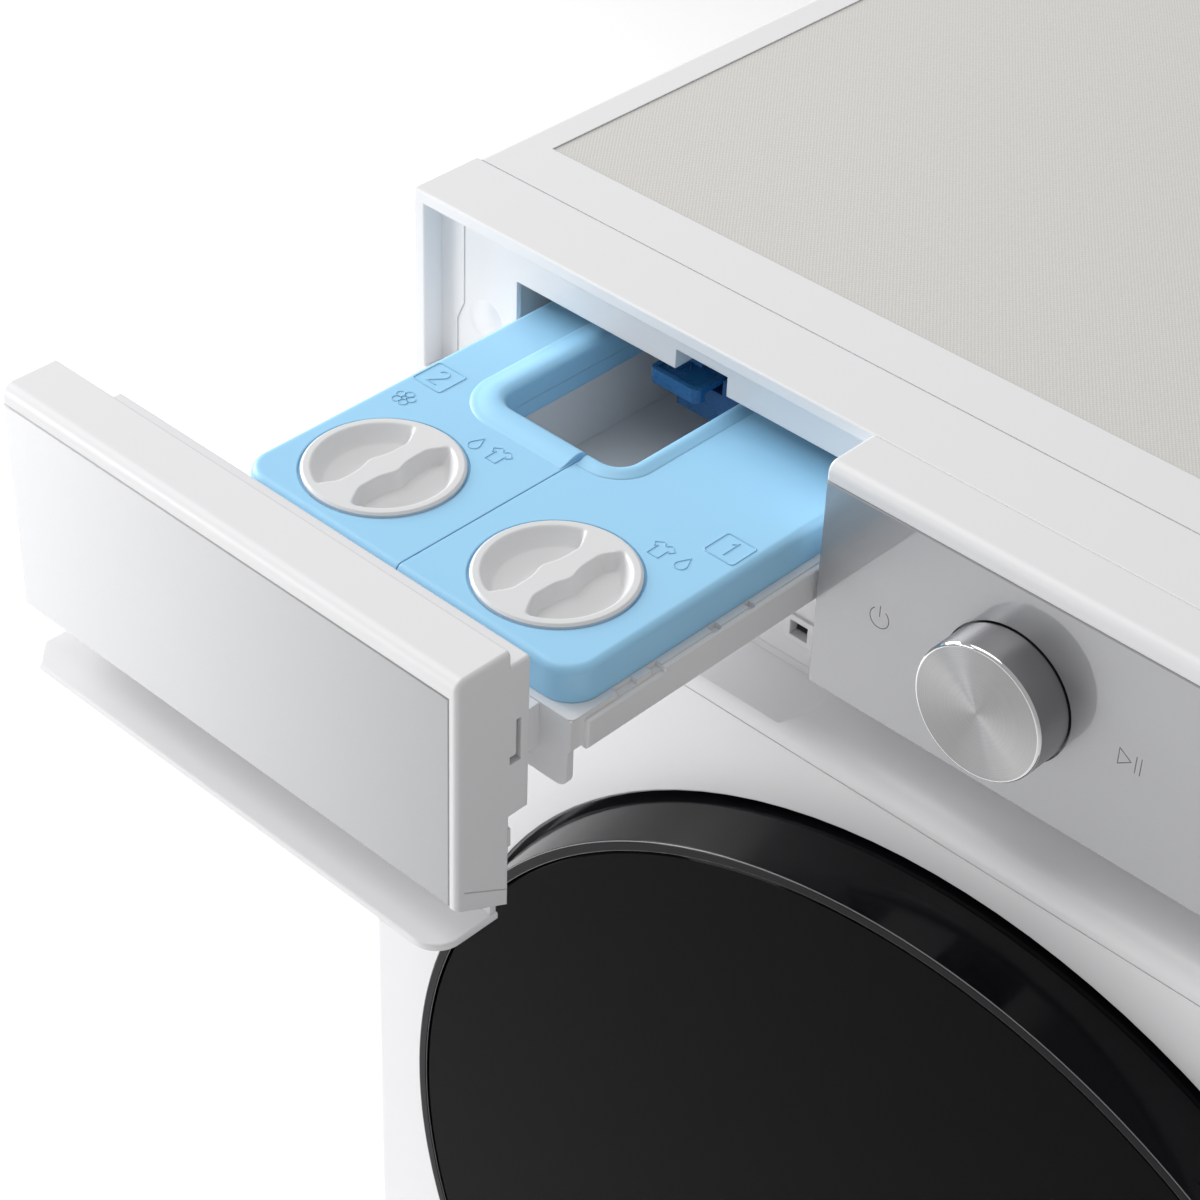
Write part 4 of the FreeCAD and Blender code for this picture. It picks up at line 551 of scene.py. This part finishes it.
def cap_circle(cx, radius, height):
    # points round a cap's axis; height(u, v) gives each one's z
    ring = []
    for i in range(CAP_TURNS):
        turn = 2 * math.pi * i / CAP_TURNS
        u = radius * math.cos(turn)
        v = radius * math.sin(turn)
        ring.append(drawn_out(cx + u, CAP_Y + v, height(u, v)))
    return ring


def make_cap(number):
    cx = CAP_X[number]
    radii = [0.35 + CAP_RING_STEP * i for i in range(73)]
    radii = [r for r in radii if r < CAP_R - 1.1]
    radii += [CAP_R - 1.0, CAP_R - 0.7, CAP_R - 0.4, CAP_R - 0.15, CAP_R]
    points = [drawn_out(cx, CAP_Y, cap_height(0, 0))]
    for radius in radii:
        points += cap_circle(cx, radius, cap_height)
    below = [(CAP_R, CAP_FLANGE_Z), (CAP_NECK_R, CAP_FLANGE_Z), (CAP_NECK_R, CAP_FOOT_Z), (0.5, CAP_FOOT_Z)]
    for radius, z in below:
        points += cap_circle(cx, radius, lambda u, v: z)
    faces = [(0, 1 + i, 1 + (i + 1) % CAP_TURNS) for i in range(CAP_TURNS)]
    for row in range(len(radii) + len(below) - 1):
        start = 1 + row * CAP_TURNS
        after = start + CAP_TURNS
        for i in range(CAP_TURNS):
            j = (i + 1) % CAP_TURNS
            faces.append((start + i, after + i, after + j, start + j))
    faces.append(tuple(range(len(points) - CAP_TURNS, len(points))))
    cap = new_piece("cap_shell_%d" % number, points, faces, "cap_plastic", "cap_%d" % number,
                    60.0)
    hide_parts("tank_cap_%d" % number)


for number in (1, 2):
    make_cap(number)


# ---------------------------------------------------------------- tank tops
POWDER_X = (-213.0, -152.0)
POWDER_FRONT_Y = -149.0
POWDER_BACK_Y = -45.0
POWDER_R = 9.0
SEAM_X = -167.5


def on_tank(u, v, h):
    return drawn_out(u, v, TANK_TOP + h)


# a lip's cross-section: distance out from the opening's wall, height over the tank's top
LIP_SECTION = (
    (-0.05, -8.0), (-0.35, -0.8), (-0.20, 0.20), (0.35, 1.05), (1.4, 1.70), (3.0, 2.00), (5.0, 1.92),
    (7.2, 1.40), (9.2, 0.66), (10.6, 0.24), (12.4, 0.02), (12.8, -0.2), (0.4, -0.2), (0.2, -8.0),
)


def make_bead(name, path, wide, high):
    # soft lip along the powder opening: it rolls over the wall and fades out on the top
    normals = offset_line(path, False)
    rings = []
    for (u, v), normal in zip(path, normals):
        ring = []
        for d, h in LIP_SECTION:
            reach = d * wide if d > 0 else d
            rise = h * high if h > 0 else h
            ring.append(on_tank(u + normal.x * reach, v + normal.y * reach, rise))
        rings.append(ring)
    points, faces = sweep(rings, False)
    new_piece(name, points, faces, "tank_blue", "drawer", 70.0)


def make_beads():
    left, right = POWDER_X
    corner_y = POWDER_FRONT_Y + POWDER_R
    corner = arc(left + POWDER_R, corner_y, POWDER_R, 270, 180, 14)
    front = [(SEAM_X - 0.9, POWDER_FRONT_Y), (SEAM_X - 8, POWDER_FRONT_Y)]
    path = front + corner + [(left, -90.0), (left, POWDER_BACK_Y)]
    make_bead("tank_2_lip", path[::-1], 1.0, 1.0)
    corner = arc(right - POWDER_R, corner_y, POWDER_R, 270, 360, 14)
    path = [(SEAM_X + 0.9, POWDER_FRONT_Y)] + corner + [(right, -90.0), (right, POWDER_BACK_Y)]
    make_bead("tank_1_lip", path, 0.55, 0.60)


make_beads()


def digit_two(cx, cy, size):
    top = arc(cx, cy + 0.24 * size, 0.26 * size, 165, -25, 12)
    return top + [(cx - 0.27 * size, cy - 0.5 * size), (cx + 0.28 * size, cy - 0.5 * size)]


def digit_one(cx, cy, size):
    upright = cx + 0.04 * size
    return [(cx - 0.16 * size, cy + 0.30 * size), (upright, cy + 0.5 * size), (upright, cy - 0.5 * size)]


def drop(cx, cy, size):
    round_part = arc(cx, cy - 0.18 * size, 0.32 * size, 150, 390, 16)
    return round_part + [(cx, cy + 0.55 * size)]


def flower(cx, cy, size):
    petals = []
    for i in range(5):
        turn = math.radians(90 + 72 * i)
        px = cx + 0.30 * size * math.cos(turn)
        py = cy + 0.30 * size * math.sin(turn)
        petals.append((arc(px, py, 0.19 * size, 0, 345, 12), True))
    petals.append((arc(cx, cy, 0.12 * size, 0, 330, 10), True))
    return petals


def shirt(cx, cy, size):
    half = [(0.10, 0.42), (0.22, 0.48), (0.52, 0.26), (0.38, 0.06), (0.27, 0.14), (0.27, -0.46)]
    right = [(cx + x * size, cy + y * size) for x, y in half]
    left = [(cx - x * size, cy + y * size) for x, y in reversed(half)]
    return right + left + arc(cx, cy + 0.42 * size, 0.10 * size, 180, 350, 5)


def tank_art(name, lines, width, height):
    line_art(name, lines, width, height, on_tank, "tank_blue", "drawer")


MARK_LINE = (0.75, 0.24)
ICON_LINE = (0.5, 0.2)
tank_art("tank_2_mark", [(square(-237.2, -152.6, 6.9, 1.2), True), (digit_two(-237.2, -152.6, 8.4), False)],
         *MARK_LINE)
tank_art("tank_1_mark", [(square(-97.6, -153.4, 6.4, 1.2), True), (digit_one(-97.6, -153.4, 8.0), False)],
         *MARK_LINE)
tank_art("tank_2_icons", flower(-236.6, -170.4, 9.0) + [(drop(-199.0, -171.5, 7.0), True),
         (shirt(-188.6, -171.3, 8.6), True)], *ICON_LINE)
tank_art("tank_1_icons", [(drop(-103.0, -170.5, 7.0), True), (shirt(-113.4, -170.3, 8.6), True)],
         *ICON_LINE)


# ---------------------------------------------------------------- lever
LEVER_X = -182.5
LEVER_TOP_Z = TANK_TOP - 0.8


def on_lever(u, v, h):
    return drawn_out(u, v, LEVER_TOP_Z + h)


def make_lever_arrow():
    shaft = [(LEVER_X, -86.6), (LEVER_X, -79.6)]
    head = [(LEVER_X - 3.0, -83.2), (LEVER_X, -79.4), (LEVER_X + 3.0, -83.2)]
    line_art("lever_arrow", [(shaft, False), (head, False)], 0.9, 0.3, on_lever, "lever_blue", "lever")


make_lever_arrow()


# ---------------------------------------------------------------- control face
GLASS_FACE_Y = -293.9
GLASS_TOP_Z = 842.5
GLASS_LOW_Z = 757.9
GAP_Y = (-291.9, -291.2)
GAP_Z = (GLASS_TOP_Z + 0.02, GLASS_TOP_Z + 0.58)


def on_glass(u, v, h):
    return at(u, GLASS_FACE_Y - h * 0.9, v)


def power_icon(cx, cz, radius):
    ring = arc(cx, cz, radius, 125, 415, 26)
    return [(ring, False), ([(cx, cz + 0.15 * radius), (cx, cz + 1.25 * radius)], False)]


def play_icon(cx, cz, size):
    back = cx - 0.50 * size
    triangle = [(back, cz + 0.40 * size), (cx + 0.10 * size, cz), (back, cz - 0.40 * size)]
    bars = []
    for x in (0.32, 0.56):
        bars.append(([(cx + x * size, cz + 0.42 * size), (cx + x * size, cz - 0.42 * size)], False))
    return [(triangle, True)] + bars


line_art("panel_icons", power_icon(-52.8, 800.6, 4.0) + play_icon(48.4, 801.2, 8.0), 0.42, 0.08,
         on_glass, "icon_grey", "cabinet")


def gap_shade_strip(name, x_range, z_range, body, place):
    # painted shade: a dark bar in the gap beside a glass, standing in for the shade inside the gap, with a
    # rounded front
    x0, x1 = x_range
    z0, z1 = z_range
    y0, y1 = GAP_Y
    ends = []
    upright = (z1 - z0) > (x1 - x0)
    for t in np.linspace(0.0, 1.0, 12):
        ring = []
        for s, d in ((0.0, 1.0), (0.0, 0.25), (0.2, 0.05), (0.5, 0.0), (0.8, 0.05), (1.0, 0.25), (1.0, 1.0)):
            x = x0 + (x1 - x0) * (s if upright else t)
            z = z0 + (z1 - z0) * (t if upright else s)
            ring.append(place(x, y0 + (y1 - y0) * d, z))
        ends.append(ring)
    points, faces = sweep(ends, False)
    new_piece(name, points, faces, "dark_plastic", body)


# painted shade: dark bars in the gaps above both glasses and beside the drawer's glass
gap_shade_strip("panel_gap", (-79.9, 299.4), GAP_Z, "cabinet", at)
gap_shade_strip("drawer_gap", (-299.6, -85.0), GAP_Z, "drawer", drawn_out)
gap_shade_strip("drawer_gap_side", (-85.38, -85.02), (GLASS_LOW_Z, GLASS_TOP_Z), "drawer", drawn_out)


# ---------------------------------------------------------------- door
LINE_TURNS = 288
LINE_SIDES = 8


def door_rim_highlight(name, radius, y, thickness):
    # painted highlight: a fine grey line that runs round the door's rim, standing in for the glint along its
    # edge
    rings = []
    for i in range(LINE_TURNS):
        turn = 2 * math.pi * i / LINE_TURNS
        ring = []
        for j in range(LINE_SIDES):
            swing = 2 * math.pi * j / LINE_SIDES
            r = radius + thickness * math.cos(swing)
            ring.append(at(r * math.cos(turn), y + thickness * math.sin(swing), AXIS_Z + r * math.sin(turn)))
        rings.append(ring)
    points, faces = sweep(rings, True)
    new_piece(name, points, faces, "rim_highlight_paint", "door", 80.0)


door_rim_highlight("door_rim_highlight_outer", 243.0, -326.26, 0.22)
door_rim_highlight("door_rim_highlight_inner", 239.15, -326.0, 0.24)


# ---------------------------------------------------------------- drum holes
DRUM_INSIDE_R = 248.0
FIRST_ROW_Y = -188.0
ROW_PITCH = 14.6
HOLE_ROWS = 23
HOLES_ROUND = 96
HOLE_SIDES = 10
HOLE_R = 2.3
LIFTER_HALF_ANGLE = 8.5
LIFTER_Y = (-172, 132)


def on_drum(angle, y, depth, radius):
    # a small circle on the drum's inner wall, depth further from the axis
    outward = Vector((math.cos(math.radians(angle)), 0, math.sin(math.radians(angle))))
    along = Vector((-outward.z, 0, outward.x))
    ring = []
    for i in range(HOLE_SIDES):
        turn = 2 * math.pi * i / HOLE_SIDES
        spot = outward * (DRUM_INSIDE_R + depth) + along * (radius * math.cos(turn))
        ring.append(at(spot.x, y + radius * math.sin(turn), AXIS_Z + spot.z))
    return ring


def under_lifter(angle, y):
    # the three lifters stand at 90, 210 and 330 degrees
    away = min(abs((angle - 90 - 120 * k + 180) % 360 - 180) for k in range(3))
    return away < LIFTER_HALF_ANGLE and LIFTER_Y[0] < y < LIFTER_Y[1]


def make_drum_holes():
    # pressed holes in staggered rows: a steel collar round each, and inside it a dark disc, painted shade
    # standing in for the open hole
    rims = []
    rim_faces = []
    holes = []
    hole_faces = []
    for row in range(HOLE_ROWS):
        y = FIRST_ROW_Y + ROW_PITCH * row
        for step in range(HOLES_ROUND):
            angle = 360.0 * (step + 0.5 * (row % 2)) / HOLES_ROUND
            if under_lifter(angle, y):
                continue
            for start in (len(rims), len(rims) + HOLE_SIDES):
                for i in range(HOLE_SIDES):
                    j = (i + 1) % HOLE_SIDES
                    rim_faces.append((start + i, start + j, start + HOLE_SIDES + j, start + HOLE_SIDES + i))
            for radius, depth in ((3.4, -0.05), (2.6, -0.45), (2.0, 0.25)):
                rims += on_drum(angle, y, depth, radius)
            hole_faces.append(tuple(range(len(holes), len(holes) + HOLE_SIDES)))
            holes += on_drum(angle, y, -0.12, HOLE_R)
    new_piece("drum_hole_rims", rims, rim_faces, "steel", "drum", 80.0)
    # painted shade: the dark discs that stand for the holes' openings
    new_piece("drum_hole_shade", holes, hole_faces, "dark_plastic", "drum")


make_drum_holes()


# ---------------------------------------------------------------- room
FLOOR_SIZE = 40.0
WORLD_STRENGTH = 0.43
# each softbox: name, place, aim, width, height, watts; in metres
SOFTBOXES = (
    ("top_softbox", (-1.2, -0.5, 3.3), (-0.1, -0.2, 0.8), 2.2, 2.2, 25.0),
    ("left_softbox", (-2.4, -2.5, 0.95), (-0.1, -0.2, 0.75), 1.1, 1.5, 32.0),
    ("side_softbox", (-2.88, -0.41, 1.62), (0, -0.23, 0.8), 1.5, 1.0, 70.0),
)


def make_floor():
    bpy.ops.mesh.primitive_plane_add(size=FLOOR_SIZE, location=(0, 0, 0))
    floor = bpy.context.object
    floor.name = "floor"
    s = Shader("floor_paint")
    node = s.principled(Roughness=0.85, Specular_IOR_Level=0.2)
    s.link(s.mix(s.noise(0.8, 2.0), (0.95, 0.95, 0.955), (0.97, 0.97, 0.97)), node.inputs["Base Color"])
    floor.data.materials.append(s.material)


def make_light(name, spot, target, size_x, size_y, watts):
    data = bpy.data.lights.new(name, "AREA")
    data.shape = "RECTANGLE"
    data.size = size_x
    data.size_y = size_y
    data.energy = watts
    lamp = bpy.data.objects.new(name, data)
    bpy.context.scene.collection.objects.link(lamp)
    lamp.location = spot
    aim = (Vector(target) - Vector(spot)).normalized()
    lamp.rotation_mode = "QUATERNION"
    lamp.rotation_quaternion = aim.to_track_quat("-Z", "Y")


def make_world():
    world = bpy.data.worlds.new("studio")
    world.use_nodes = True
    background = world.node_tree.nodes["Background"]
    background.inputs["Color"].default_value = (1.0, 1.0, 1.0, 1.0)
    background.inputs["Strength"].default_value = WORLD_STRENGTH
    bpy.context.scene.world = world


make_floor()
make_world()
for softbox in SOFTBOXES:
    make_light(*softbox)

bpy.context.scene.view_settings.view_transform = "Standard"
